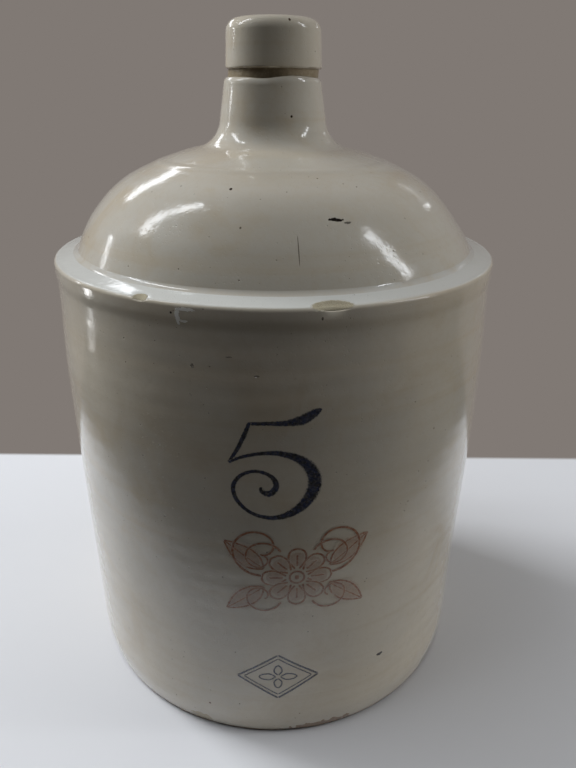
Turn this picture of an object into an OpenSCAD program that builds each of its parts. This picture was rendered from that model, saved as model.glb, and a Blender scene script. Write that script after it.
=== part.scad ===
// Five-gallon stoneware shoulder jug: a crock body with a domed top, a flared neck,
// a turned mouth collar and a pulled strap handle, each formed by itself and luted on.
// The jug stands on z = 0 with its axis on Z. The decorated front faces -Y, the handle +Y.

/* [Body] */
// Diameter at the widest part of the wall
body_d = 304.8; // [280:0.2:320]
// Height of the rim above the table
rim_h = 318; // [290:1:350]
// Height of the widest part
belly_h = 240; // [180:1:255]
// Thickness of the thrown wall
wall_t = 12; // [10:0.5:16]
// How far the heel lies inside the widest part
heel_inset = 3; // [1:0.2:6]
// Height at which the rounded heel runs out
heel_h = 25; // [12:1:50]
// How far the foot is drawn in below the heel
foot_inset = 3.4; // [1:0.2:7]
// How far the soft groove below the rim lies inside the widest part
groove_inset = 2.1; // [1.4:0.1:4]
// Distance of that groove below the rim
groove_drop = 15; // [11:0.5:22]
// How far the lip of the rim lies inside the widest part
lip_inset = 1.2; // [0.6:0.1:1.3]
// Distance of the lip's fullest point below the rim
lip_drop = 7; // [5.5:0.5:9]
// Rounding of the lip's upper edge
lip_round = 2.5; // [1.5:0.5:5.5]
// Width of the ledge between the lip and the dome
ledge_w = 13.9; // [11:0.1:18]
// Rise of the ledge from the lip to the dome
ledge_rise = 2.6; // [1:0.2:5]

/* [Floor] */
// Thickness of the floor
floor_t = 13; // [11:0.5:20]
// Height of the slab's bare edge, on which the wall stands
slab_edge_h = 5; // [3:0.5:8]
// Rounding of the slab's lower edge
slab_round = 1.6; // [0.5:0.1:2.5]
// Thickness of the wall where it stands on the slab
foot_t = 16; // [14:0.5:22]
// Radius of the coil pressed into the inner corner
coil_r = 11; // [6:0.5:16]

/* [Dome] */
// Thickness of the dome
dome_t = 11; // [8:0.5:13]
// Depth of the socket in the rim that holds the dome's foot
socket_depth = 22; // [14:1:30]
// Width of the shelf below the dome's foot
shelf_w = 8; // [5:0.5:10]
// Height over which the shelf runs back into the wall
shelf_run = 30; // [20:1:50]
// Step from the socket in to the shoulder arc's widest part
foot_step = 5.8; // [4:0.1:8]
// Distance of the centre of the shoulder's outline from the jug's axis
shoulder_in = 64.5; // [58:0.5:72]
// Radius of the crown's outline
crown_r = 185; // [165:1:205]
// Angle at which the shoulder runs into the crown
join_deg = 62.7; // [58:0.1:67]
// Distance of the shoulder arc's widest level below the rim
spring_drop = 9.8; // [6:0.1:14]
// Angle at which the shoulder runs into the flatter flank below it
flank_deg = 45; // [38:0.5:52]
// Distance of the flank's foot from the socket's edge
flank_in = 0.9; // [0.5:0.1:1.8]
// Radius of the seam where the neck's skirt laps over the dome
seam_r = 77; // [70:0.5:82]
// Width of that lap
lap_w = 12; // [8:0.5:16]
// Height of the lute bead in the corner above the ledge
lute_h = 2; // [1.5:0.1:5]
// Reach of the bead's toe past the dome's foot ring
lute_toe = 1.3; // [1:0.1:3]

/* [Neck] */
// Height of the neck above the crown
neck_h = 38.1; // [32:0.1:46]
// Radius of the neck below its rounded top
neck_top_r = 32.2; // [31:0.1:34]
// Height over which that top is rounded
neck_round_h = 5; // [3:0.1:7]
// Lean of the neck's outline from upright
neck_lean_deg = 8.6; // [6:0.1:12]
// Radius of the sweep from the crown into the neck
flare_r = 19; // [12:0.5:24]
// Radius of the tooled groove below the collar
waist_r = 29.3; // [28.4:0.1:29.8]
// Height of that groove
waist_h = 4.5; // [3:0.1:7]
// Radius of the neck's inside at its upper end
throat_r = 18.5; // [17.6:0.1:20]
// Lean of the throat's outline from upright
throat_lean_deg = 8; // [4:0.1:10]
// Radius of the sweep from the throat into the dome
throat_flare_r = 26; // [18:0.5:30]
// Radius of the spigot that the collar sits over
spigot_r = 24; // [22.5:0.1:25]
// Height of that spigot
spigot_h = 7; // [4:0.5:10]

/* [Mouth collar] */
// Height of the collar
collar_h = 29; // [24:0.5:36]
// Radius of the collar at its fullest
collar_r = 31.2; // [30:0.1:33]
// Radius of the collar below its rounded top
collar_top_r = 30.5; // [29.6:0.1:31]
// Rounding of the collar's top
collar_round = 8; // [5:0.5:9]
// Rounding of the collar's lower edge
collar_under_round = 1.6; // [1:0.1:3]
// Radius of the mouth bore, which takes the cork
bore_r = 17; // [15:0.1:17.5]
// Rounding of the mouth's inner edge
mouth_round = 3.5; // [2:0.1:4.5]

/* [Strap handle] */
// Width of the strap in the middle of its run
strap_w = 32; // [26:0.5:36]
// Width of the strap at its pressed ends
strap_end_w = 40; // [37:0.5:46]
// Thickness of the strap in the middle of its run
strap_t = 12.5; // [10:0.5:14]
// Thickness of the strap at its pressed ends
strap_end_t = 21; // [16:0.5:23]
// Depth of the finger flutes along the strap
flute_depth = 1.3; // [0.6:0.1:1.8]
// Distance of the upper root below the neck's top
root_drop = 15.5; // [14:0.5:19]
// How far the lower root lies inside the dome's widest part
land_in = 20.5; // [16:0.5:27]
// Outward pull at the upper root
pull_out = 38; // [30:0.5:44]
// Upward pull at the upper root
pull_up = 21; // [14:0.5:26]
// Outward bow above the lower root
bow_out = 12; // [6:0.5:18]
// Height of the bow above the lower root
bow_up = 88; // [78:0.5:96]

/* [Hidden] */
$fn = 144;
full = 360;
right = 90;

// Steps along a long curve, a round edge and an eased stretch
curve_steps = 14;
round_steps = 6;
ease_steps = 10;
// Rings along the strap, and points round its section
strap_rings = 44;
strap_sides = 36;
// Flutes across the strap, and how square its section is
strap_flutes = 2;
square_share = 0.72;
// How fast the strap swells towards its ends
swell_power = 3.4;
// Pole of the bead's hollow face, as shares of its width and height
lute_shares = [0.38, 0.25];
// Depth to which the strap's ends reach into the clay before they are cut to it
sink = 9;

// Radii of the body, from the widest part inwards
belly_r = body_d / 2;
heel_r = belly_r - heel_inset;
foot_r = heel_r - foot_inset;
groove_r = belly_r - groove_inset;
lip_r = belly_r - lip_inset;
bed_r = foot_r - foot_t;
socket_r = lip_r - ledge_w;
shelf_r = socket_r - shelf_w;

// Levels of the body
socket_z = rim_h - socket_depth;
ledge_z = rim_h + ledge_rise;
coil_top_z = floor_t + coil_r;
shelf_low_z = socket_z - shelf_run;

// Centres of the shoulder's and the crown's arcs, which meet at join_deg
dome_r = socket_r - foot_step;
shoulder_r = dome_r - shoulder_in;
shoulder_c = [shoulder_in, rim_h - spring_drop];
crown_c = shoulder_c - (crown_r - shoulder_r) * [cos(join_deg), sin(join_deg)];
crown_z = crown_c[1] + crown_r;
inner_shoulder_r = shoulder_r - dome_t;
inner_crown_r = crown_r - dome_t;
lap_crown_r = crown_r - dome_t / 2;
seam_deg = acos((seam_r - crown_c[0]) / crown_r);
lap_deg = seam_deg + lap_w / lap_crown_r * full / (2 * PI);

// Levels of the neck and the collar
neck_top_z = crown_z + neck_h;
collar_z = neck_top_z + waist_h;
spigot_z = collar_z + spigot_h;
top_z = collar_z + collar_h;

// Points of an arc about c, both ends included
function arc(c, r, a0, a1, n) =
    [for (i = [0:n]) let (a = a0 + (a1 - a0) * i / n) c + r * [cos(a), sin(a)]];

// Points of a smooth swell from p to q that starts and ends upright, without p
function eased(p, q, n) =
    [for (i = [1:n]) let (t = i / n, s = (1 - cos(2 * right * t)) / 2)
        [p[0] + (q[0] - p[0]) * s, p[1] + (q[1] - p[1]) * t]];

// Outward normal of a line that leans in by a degrees
function normal(a) = [cos(a), sin(a)];

// Direction up that line
function uphill(a) = [-sin(a), cos(a)];

// Centre of the arc of radius f that touches a leaning line and the crown circle of radius r
function sweep_centre(p, a, f, r) =
    let (w = (p * normal(a) + f) * normal(a) - crown_c, b = w * uphill(a))
    crown_c + w + (sqrt(b * b - w * w + (r + f) * (r + f)) - b) * uphill(a);

// Points of that arc, from the crown up to the leaning line
function sweep_arc(p, a, f, r) =
    let (c = sweep_centre(p, a, f, r), d = crown_c - c)
    arc(c, f, full + atan2(d[1], d[0]), 2 * right + a, curve_steps);

// Angle at the crown's centre where that arc leaves the crown
function sweep_deg(p, a, f, r) =
    let (d = sweep_centre(p, a, f, r) - crown_c) atan2(d[1], d[0]);

// Radius of the rounded heel at height z
function heel_at(z) = foot_r + foot_inset * sin(right * z / heel_h);

function heel_points(z0) =
    [for (i = [0:ease_steps]) let (z = z0 + (heel_h - z0) * i / ease_steps) [heel_at(z), z]];

neck_corner = [neck_top_r, neck_top_z - neck_round_h];
throat_corner = [throat_r, spigot_z];
flare_deg = sweep_deg(neck_corner, neck_lean_deg, flare_r, crown_r);
throat_deg = sweep_deg(throat_corner, throat_lean_deg, throat_flare_r, inner_crown_r);

// Arc of the flank, which touches the shoulder's arc and ends at the ledge
flank_top = shoulder_c + shoulder_r * normal(flank_deg);
flank_fall = [socket_r - flank_in, ledge_z] - flank_top;
flank_r = -(flank_fall * flank_fall) / (flank_fall * normal(flank_deg)) / 2;
flank_c = flank_top - flank_r * normal(flank_deg);
ledge_deg = asin((ledge_z - flank_c[1]) / flank_r);
lute_deg = asin((ledge_z + lute_h - flank_c[1]) / flank_r);

// Outer face of the dome: behind the bead of lute, then up to the crown and the seam
lute_points = arc(flank_c, flank_r, ledge_deg, lute_deg, round_steps);
flank_points = arc(flank_c, flank_r, lute_deg, flank_deg, curve_steps);
shoulder_points = arc(shoulder_c, shoulder_r, flank_deg, join_deg, curve_steps);
crown_points = arc(crown_c, crown_r, join_deg, seam_deg, curve_steps);
// Lap between the dome and the neck's skirt, from the outer edge inwards
lap_points = arc(crown_c, lap_crown_r, seam_deg, lap_deg, round_steps);
// Outer face of the neck's skirt and its flare, from the seam upwards
skirt_points = arc(crown_c, crown_r, seam_deg, flare_deg, round_steps);
flare_points = sweep_arc(neck_corner, neck_lean_deg, flare_r, crown_r);

function reversed(v) = [for (i = [len(v) - 1:-1:0]) v[i]];

// The round slab that closes the bottom: its bare edge carries the wall
module floor_slab() {
    edge_c = [foot_r - slab_round, slab_round];
    color("saddlebrown")
        rotate_extrude()
            polygon(concat(
                [[0, 0]],
                arc(edge_c, slab_round, -right, 0, round_steps),
                [[heel_at(slab_edge_h), slab_edge_h], [bed_r, slab_edge_h],
                 [bed_r, floor_t], [0, floor_t]]));
}

// The coil of clay pressed into the corner between floor and wall
module foot_coil() {
    color("peru")
        rotate_extrude()
            polygon(concat(
                [[bed_r, floor_t]],
                arc([bed_r - coil_r, coil_top_z], coil_r, 0, -right, curve_steps)));
}

// The thrown wall, from the slab up to the lip, with the socket for the dome
module crock_wall() {
    outer = concat(
        heel_points(slab_edge_h),
        eased([heel_r, heel_h], [belly_r, belly_h], curve_steps),
        eased([belly_r, belly_h], [groove_r, rim_h - groove_drop], ease_steps),
        eased([groove_r, rim_h - groove_drop], [lip_r, rim_h - lip_drop], round_steps),
        arc([lip_r - lip_round, rim_h - lip_round], lip_round, 0, right, round_steps));
    socket = [[socket_r, ledge_z], [socket_r, socket_z], [shelf_r, socket_z]];
    inner = concat(
        eased([shelf_r, socket_z], [belly_r - wall_t, shelf_low_z], ease_steps),
        eased([belly_r - wall_t, shelf_low_z], [heel_r - wall_t, coil_top_z + heel_h],
              curve_steps),
        eased([heel_r - wall_t, coil_top_z + heel_h], [bed_r, coil_top_z], ease_steps),
        [[bed_r, slab_edge_h]]);
    color("antiquewhite")
        rotate_extrude()
            polygon(concat(outer, socket, inner));
}

// The domed top: its foot ring stands in the rim, and its crown is cut back to a lap
module shoulder_dome() {
    foot_in_r = shoulder_c[0] + inner_shoulder_r;
    color("linen")
        rotate_extrude()
            polygon(concat(
                [[foot_in_r, socket_z], [socket_r, socket_z], [socket_r, ledge_z]],
                lute_points,
                flank_points,
                shoulder_points,
                crown_points,
                lap_points,
                arc(crown_c, inner_crown_r, lap_deg, join_deg, curve_steps),
                arc(shoulder_c, inner_shoulder_r, join_deg, 0, curve_steps)));
}

// The bead of lute that closes the corner between the ledge and the dome
module shoulder_lute() {
    slope = ledge_rise / (socket_r - lip_r + lip_round);
    toe = [socket_r + lute_toe, ledge_z + slope * lute_toe];
    head = lute_points[round_steps];
    pole = [head[0] + (toe[0] - head[0]) * lute_shares[0], ledge_z + lute_h * lute_shares[1]];
    hollow = [for (i = [0:round_steps - 1]) let (t = i / round_steps, u = 1 - t)
        u * u * toe + 2 * u * t * pole + t * t * head];
    color("wheat")
        rotate_extrude()
            polygon(concat([[socket_r, ledge_z]], hollow, reversed(lute_points)));
}

// Points of the neck's rounded top, a quarter of an oval
function rounded_top() =
    [for (i = [0:round_steps]) let (a = right * i / round_steps)
        [waist_r + (neck_top_r - waist_r) * cos(a), neck_corner[1] + neck_round_h * sin(a)]];

// The flared neck, with its skirt lapped over the dome and a spigot for the collar
module neck() {
    color("ivory")
        rotate_extrude()
            polygon(concat(
                skirt_points,
                flare_points,
                rounded_top(),
                [[waist_r, collar_z], [spigot_r, collar_z], [spigot_r, spigot_z], throat_corner],
                reversed(sweep_arc(throat_corner, throat_lean_deg, throat_flare_r,
                                   inner_crown_r)),
                arc(crown_c, inner_crown_r, throat_deg, lap_deg, curve_steps),
                reversed(lap_points)));
}

// The turned ring round the mouth, which the cork is pushed into
module mouth_collar() {
    color("oldlace")
        rotate_extrude()
            polygon(concat(
                [[spigot_r, collar_z]],
                arc([collar_r - collar_under_round, collar_z + collar_under_round],
                    collar_under_round, -right, 0, round_steps),
                arc([collar_top_r - collar_round, top_z - collar_round], collar_round,
                    0, right, curve_steps),
                arc([bore_r + mouth_round, top_z - mouth_round], mouth_round,
                    right, 2 * right, round_steps),
                [[bore_r, spigot_z], [spigot_r, spigot_z]]));
}

// Places of the handle's roots on the outlines of the neck and the dome
root_z = neck_top_z - root_drop;
root_r = neck_top_r + (root_drop - neck_round_h) * tan(neck_lean_deg);
land_r = dome_r - land_in;
land_out = land_r - shoulder_c[0];
land_z = shoulder_c[1] + sqrt(shoulder_r * shoulder_r - land_out * land_out);
strap_route = [[root_r - sink, root_z - sink / 2], [root_r + pull_out, root_z + pull_up],
               [land_r + bow_out, land_z + bow_up], [land_r - sink, land_z - sink]];

// Point and direction on the strap's route at t from 0 to 1, as a curve with four poles
function route_at(t) =
    let (u = 1 - t)
    u * u * u * strap_route[0] + 3 * u * u * t * strap_route[1]
    + 3 * u * t * t * strap_route[2] + t * t * t * strap_route[3];
function route_heading(t) =
    let (u = 1 - t,
         d = u * u * (strap_route[1] - strap_route[0])
             + 2 * u * t * (strap_route[2] - strap_route[1])
             + t * t * (strap_route[3] - strap_route[2]))
    d / norm(d);

// How much of the end's extra width and thickness the strap has at t
function swell(t) = pow(abs(2 * t - 1), swell_power);

// Value of x raised to a power with its sign kept
function keep_sign(x, p) = sign(x) * pow(abs(x), p);

// Section of the strap: across its width, and outwards from its middle
function section(t) =
    let (w = strap_w + (strap_end_w - strap_w) * swell(t),
         d = strap_t + (strap_end_t - strap_t) * swell(t))
    [for (i = [0:strap_sides - 1])
        let (a = full * i / strap_sides,
             across = keep_sign(cos(a), square_share),
             out = keep_sign(sin(a), square_share),
             flute = out > 0 ? (1 - cos(strap_flutes * right * 2 * (across + 1))) / 2 : 0)
        [w / 2 * across, d / 2 * out - flute_depth * flute * out]];

// The plain strap along its route, before its ends are cut to the jug
module strap_sweep() {
    n = strap_sides;
    rings = [for (i = [0:strap_rings])
        let (t = i / strap_rings, p = route_at(t), h = route_heading(t))
        for (s = section(t)) [s[0], p[0] - s[1] * h[1], p[1] + s[1] * h[0]]];
    sides = [for (i = [0:strap_rings - 1]) for (j = [0:n - 1])
        let (a = i * n + j, b = i * n + (j + 1) % n)
        each [[a, b, b + n], [a, b + n, a + n]]];
    near_end = [for (j = [1:n - 2]) [0, j + 1, j]];
    far = strap_rings * n;
    far_end = [for (j = [1:n - 2]) [far, far + j, far + j + 1]];
    polyhedron(rings, concat(sides, near_end, far_end));
}

// The space that the dome and neck fill, which the strap's ends are cut to
module jug_form() {
    rotate_extrude()
        polygon(concat(
            [[0, ledge_z]],
            lute_points,
            flank_points,
            shoulder_points,
            crown_points,
            skirt_points,
            flare_points,
            [neck_corner, [0, neck_corner[1]]]));
}

// The pulled handle, its ends pressed on to the neck and the dome
module strap_handle() {
    color("floralwhite")
        difference() {
            strap_sweep();
            jug_form();
        }
}

floor_slab();
foot_coil();
crock_wall();
shoulder_dome();
shoulder_lute();
neck();
mouth_collar();
strap_handle();
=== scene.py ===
"""A stoneware shoulder jug in its glaze, built over the packed clay pieces.

Each clay piece is a closed section, spun on the jug's axis, moved a little as a hand would
leave it and dressed in glaze. The stamped marks are thin films of colour on the wall. A plain
studio with soft lamps shows the jug.
"""

import logging
import math
from dataclasses import dataclass
from enum import Enum
from functools import cached_property
from typing import Callable, Sequence

import bmesh
import bpy
from mathutils import Matrix, Vector, noise


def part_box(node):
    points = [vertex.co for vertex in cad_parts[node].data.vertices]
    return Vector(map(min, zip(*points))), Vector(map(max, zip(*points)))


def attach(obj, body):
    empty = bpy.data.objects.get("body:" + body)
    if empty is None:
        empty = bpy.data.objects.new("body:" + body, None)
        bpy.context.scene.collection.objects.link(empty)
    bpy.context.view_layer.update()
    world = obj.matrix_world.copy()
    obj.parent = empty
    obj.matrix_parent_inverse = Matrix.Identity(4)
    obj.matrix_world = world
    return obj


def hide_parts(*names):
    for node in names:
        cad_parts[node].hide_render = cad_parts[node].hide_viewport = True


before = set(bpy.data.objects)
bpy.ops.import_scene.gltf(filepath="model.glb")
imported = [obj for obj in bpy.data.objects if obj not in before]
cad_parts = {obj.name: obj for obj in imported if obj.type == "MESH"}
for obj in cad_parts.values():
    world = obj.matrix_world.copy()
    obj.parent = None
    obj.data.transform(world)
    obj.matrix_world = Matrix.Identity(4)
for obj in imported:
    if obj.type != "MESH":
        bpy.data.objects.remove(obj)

LOG = logging.getLogger("jug")
MM = 0.001
FULL_TURN = 2 * math.pi
QUARTER = math.pi / 2
BODY = "root"
AXIS = Vector((0, 0, 1))
ORIGIN = Vector((0, 0, 0))
Point = tuple[float, float]
Triple = tuple[float, float, float]
Rgb = tuple[int, int, int]
Mesh = bmesh.types.BMesh
Vert = bmesh.types.BMVert
Socket = bpy.types.NodeSocket
Value = Socket | float


def on_circle(centre: Point, radius: float, angle: float) -> Point:
    """Point on a circle, at an angle in degrees from the outward direction."""
    turn = math.radians(angle)
    return centre[0] + radius * math.cos(turn), centre[1] + radius * math.sin(turn)


def arc(centre: Point, radius: float, start: float, end: float, steps: int) -> list[Point]:
    """Lay points along an arc.

    Args:
        centre: Centre of the arc, as distance from the axis and height.
        radius: Radius of the arc.
        start: First angle, in degrees from the outward direction.
        end: Last angle, in degrees.
        steps: Number of equal steps.

    Returns:
        The points, both ends included.
    """
    return [on_circle(centre, radius, start + (end - start) * i / steps) for i in range(steps + 1)]


def eased(start: Point, end: Point, steps: int) -> list[Point]:
    """Lay points along a swell that begins and ends upright.

    Args:
        start: Point before the first one given back.
        end: Last point.
        steps: Number of points.

    Returns:
        The points after start, up to end.
    """
    points = []
    for i in range(1, steps + 1):
        along = i / steps
        across = (1 - math.cos(math.pi * along)) / 2
        points.append((start[0] + (end[0] - start[0]) * across,
                       start[1] + (end[1] - start[1]) * along))
    return points


def straight(start: Point, end: Point, steps: int) -> list[Point]:
    """Lay evenly spaced points on a line, without its start.

    Args:
        start: Point before the first one given back.
        end: Last point.
        steps: Number of points.

    Returns:
        The points after start, up to end.
    """
    return [(start[0] + (end[0] - start[0]) * i / steps, start[1] + (end[1] - start[1]) * i / steps)
            for i in range(1, steps + 1)]


def fade(value: float, low: float, high: float) -> float:
    """Rise smoothly from 0 at low to 1 at high."""
    share = min(max((value - low) / (high - low), 0.0), 1.0)
    return share * share * (3 - 2 * share)


def from_front(angle: float, radius: float, height: float) -> Vector:
    """Point at an angle in degrees from the front towards the right, a radius and a height."""
    turn = math.radians(angle)
    return Vector((radius * math.sin(turn), -radius * math.cos(turn), height))


@dataclass(frozen=True)
class JugForm:
    """Outline of the fired jug in metres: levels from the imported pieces, and the small sizes.

    Heights are above the table and radii are from the jug's axis.
    """

    belly_r: float
    ledge_z: float
    socket_z: float
    floor_t: float
    coil_top_z: float
    seam_r: float
    spigot_z: float
    collar_z: float
    top_z: float
    collar_r: float
    belly_z: float = 240 * MM
    heel_inset: float = 3 * MM
    heel_h: float = 25 * MM
    foot_inset: float = 3.4 * MM
    groove_inset: float = 2.1 * MM
    groove_drop: float = 15 * MM
    lip_inset: float = 1.2 * MM
    lip_drop: float = 7 * MM
    lip_round: float = 2.5 * MM
    ledge_w: float = 13.9 * MM
    ledge_rise: float = 2.6 * MM
    wall_t: float = 12 * MM
    foot_t: float = 16 * MM
    slab_edge_h: float = 5 * MM
    slab_round: float = 1.6 * MM
    shelf_w: float = 8 * MM
    shelf_run: float = 30 * MM
    dome_t: float = 11 * MM
    foot_step: float = 5.8 * MM
    shoulder_in: float = 64.5 * MM
    crown_r: float = 185 * MM
    join_deg: float = 62.7
    spring_drop: float = 9.8 * MM
    flank_deg: float = 45.0
    flank_in: float = 0.9 * MM
    lap_w: float = 12 * MM
    ridge_h: float = 0.3 * MM
    ridge_w: float = 5 * MM
    ridge_deg: float = 2.4
    lute_h: float = 2 * MM
    lute_toe: float = 1.3 * MM
    neck_top_r: float = 32.2 * MM
    neck_round_h: float = 5 * MM
    neck_lean_deg: float = 8.6
    flare_r: float = 19 * MM
    waist_r: float = 29.3 * MM
    waist_h: float = 4.5 * MM
    throat_r: float = 18.5 * MM
    throat_lean_deg: float = 8.0
    throat_flare_r: float = 26 * MM
    spigot_r: float = 24 * MM
    collar_top_r: float = 30.5 * MM
    collar_round: float = 8 * MM
    collar_under: float = 1.6 * MM
    bore_r: float = 17 * MM
    mouth_round: float = 3.5 * MM

    @classmethod
    def from_frame(cls) -> "JugForm":
        """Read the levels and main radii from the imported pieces' boxes.

        Returns:
            The outline.
        """
        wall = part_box("crock_wall")[1]
        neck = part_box("neck")[1]
        collar_low, collar_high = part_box("mouth_collar")
        return cls(belly_r=wall.x, ledge_z=wall.z, socket_z=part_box("shoulder_dome")[0].z,
                   floor_t=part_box("floor_slab")[1].z, coil_top_z=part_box("foot_coil")[1].z,
                   seam_r=neck.x, spigot_z=neck.z, collar_z=collar_low.z,
                   top_z=collar_high.z, collar_r=collar_high.x)

    @property
    def rim_z(self) -> float:
        """Height of the lip's top."""
        return self.ledge_z - self.ledge_rise

    @property
    def heel_r(self) -> float:
        """Radius where the rounded heel runs out."""
        return self.belly_r - self.heel_inset

    @property
    def foot_r(self) -> float:
        """Radius of the foot on the table."""
        return self.heel_r - self.foot_inset

    @property
    def lip_r(self) -> float:
        """Radius of the lip."""
        return self.belly_r - self.lip_inset

    @property
    def bed_r(self) -> float:
        """Radius of the floor inside the wall."""
        return self.foot_r - self.foot_t

    @property
    def socket_r(self) -> float:
        """Radius of the socket that holds the dome."""
        return self.lip_r - self.ledge_w

    @property
    def dome_r(self) -> float:
        """Radius of the dome at its fullest."""
        return self.socket_r - self.foot_step

    @property
    def shoulder_r(self) -> float:
        """Radius of the shoulder's arc."""
        return self.dome_r - self.shoulder_in

    @property
    def shoulder_c(self) -> Point:
        """Centre of the shoulder's arc."""
        return self.shoulder_in, self.rim_z - self.spring_drop

    @property
    def crown_c(self) -> Point:
        """Centre of the crown's arc, which runs on from the shoulder's."""
        return on_circle(self.shoulder_c, self.shoulder_r - self.crown_r, self.join_deg)

    @property
    def seam_deg(self) -> float:
        """Angle on the crown's arc at the seam of neck and dome, in degrees."""
        return math.degrees(math.acos((self.seam_r - self.crown_c[0]) / self.crown_r))

    @property
    def lap_deg(self) -> float:
        """Angle on the crown's arc at the inner edge of the lap, in degrees."""
        return self.seam_deg + math.degrees(self.lap_w / (self.crown_r - self.dome_t / 2))

    @property
    def neck_corner(self) -> Point:
        """Point where the neck's leaning side meets its rounded top."""
        return self.neck_top_r, self.collar_z - self.waist_h - self.neck_round_h

    @cached_property
    def wall_outline(self) -> list[Point]:
        """Outer face of the wall.

        Returns:
            Its points, from the slab's edge up to the lip's top.
        """
        heel_steps = 14
        levels = [self.slab_edge_h + (self.heel_h - self.slab_edge_h) * i / heel_steps
                  for i in range(heel_steps + 1)]
        belly = (self.belly_r, self.belly_z)
        groove = (self.belly_r - self.groove_inset, self.rim_z - self.groove_drop)
        lip = (self.lip_r, self.rim_z - self.lip_drop)
        top = (self.lip_r - self.lip_round, self.rim_z - self.lip_round)
        return ([(self.heel_radius(z), z) for z in levels]
                + eased((self.heel_r, self.heel_h), belly, 84) + eased(belly, groove, 26)
                + eased(groove, lip, 8) + arc(top, self.lip_round, 0, 90, 10))

    @cached_property
    def flank(self) -> tuple[Point, float]:
        """Arc of the flank, from the shoulder down to the ledge.

        Returns:
            Its centre and radius.
        """
        normal = Vector(on_circle((0, 0), 1, self.flank_deg))
        top = Vector(self.shoulder_c) + self.shoulder_r * normal
        fall = Vector((self.socket_r - self.flank_in, self.ledge_z)) - top
        radius = -fall.length_squared / fall.dot(normal) / 2
        centre = top - radius * normal
        return (centre.x, centre.y), radius

    def heel_radius(self, height: float) -> float:
        """Radius of the rounded heel at a height."""
        return self.foot_r + self.foot_inset * math.sin(QUARTER * height / self.heel_h)

    def wall_radius(self, height: float) -> float:
        """Outer radius of the wall.

        Args:
            height: A height between the slab's edge and the lip.

        Returns:
            The radius there.
        """
        for (r0, z0), (r1, z1) in zip(self.wall_outline, self.wall_outline[1:]):
            if z0 <= height <= z1:
                return r0 + (r1 - r0) * (height - z0) / (z1 - z0)
        return self.lip_r

    def flank_angle(self, height: float) -> float:
        """Angle on the flank's arc at a height, in degrees."""
        centre, radius = self.flank
        return math.degrees(math.asin((height - centre[1]) / radius))

    def crown_angle(self, point: Point) -> float:
        """Angle of a point as seen from the crown's centre, in degrees."""
        centre = self.crown_c
        return math.degrees(math.atan2(point[1] - centre[1], point[0] - centre[0]))

    def crown_point(self, angle: float) -> Point:
        """Find a point on the crown, with the soft ridge that was left at the seam.

        Args:
            angle: Angle on the crown's arc, in degrees.

        Returns:
            The point.
        """
        away = abs(math.radians(angle - self.seam_deg)) * self.crown_r / self.ridge_w
        ridge = self.ridge_h * math.cos(min(away, 1.0) * QUARTER) ** 2
        return on_circle(self.crown_c, self.crown_r + ridge, angle)

    def crown(self, start: float, end: float, steps: int) -> list[Point]:
        """Points on the crown, between two angles in degrees."""
        return [self.crown_point(start + (end - start) * i / steps) for i in range(steps + 1)]

    def dome_foot(self) -> list[Point]:
        """Points of the dome behind the lute bead."""
        low, high = self.flank_angle(self.ledge_z), self.flank_angle(self.ledge_z + self.lute_h)
        return arc(*self.flank, low, high, 5)

    def dome_face(self) -> list[Point]:
        """Outer face of the dome.

        Returns:
            Its points, from behind the bead up to the seam.
        """
        head = self.flank_angle(self.ledge_z + self.lute_h)
        near = self.seam_deg - self.ridge_deg
        return (self.dome_foot() + arc(*self.flank, head, self.flank_deg, 20)[1:]
                + arc(self.shoulder_c, self.shoulder_r, self.flank_deg, self.join_deg, 16)[1:]
                + self.crown(self.join_deg, near, 10)[1:] + self.crown(near, self.seam_deg, 10)[1:])

    def lap(self) -> list[Point]:
        """Points of the lap, from the seam inwards."""
        return [self.crown_point(self.seam_deg)] + arc(
            self.crown_c, self.crown_r - self.dome_t / 2, self.seam_deg, self.lap_deg, 6)

    def sweep(self, corner: Point, lean: float, radius: float, crown: float) -> list[Point]:
        """Lay the arc that runs from the crown up into a leaning side.

        Args:
            corner: A point on the leaning side.
            lean: Lean of the side from upright, in degrees.
            radius: Radius of the arc.
            crown: Radius of the crown's circle that the arc touches.

        Returns:
            The points, from the crown upwards.
        """
        out = Vector(on_circle((0, 0), 1, lean))
        up = Vector((-out.y, out.x))
        start = Vector(self.crown_c)
        base = (Vector(corner).dot(out) + radius) * out - start
        slide = base.dot(up)
        rise = math.sqrt(slide * slide - base.dot(base) + (crown + radius) ** 2) - slide
        centre = start + base + rise * up
        to_crown = start - centre
        first = 360 + math.degrees(math.atan2(to_crown.y, to_crown.x))
        return arc((centre.x, centre.y), radius, first, 180 + lean, 20)

    def neck_flare(self) -> list[Point]:
        """Outer sweep from the crown into the neck."""
        return self.sweep(self.neck_corner, self.neck_lean_deg, self.flare_r, self.crown_r)

    def throat_flare(self) -> list[Point]:
        """Inner sweep from under the dome into the throat."""
        return self.sweep((self.throat_r, self.spigot_z), self.throat_lean_deg, self.throat_flare_r,
                          self.crown_r - self.dome_t)


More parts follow.
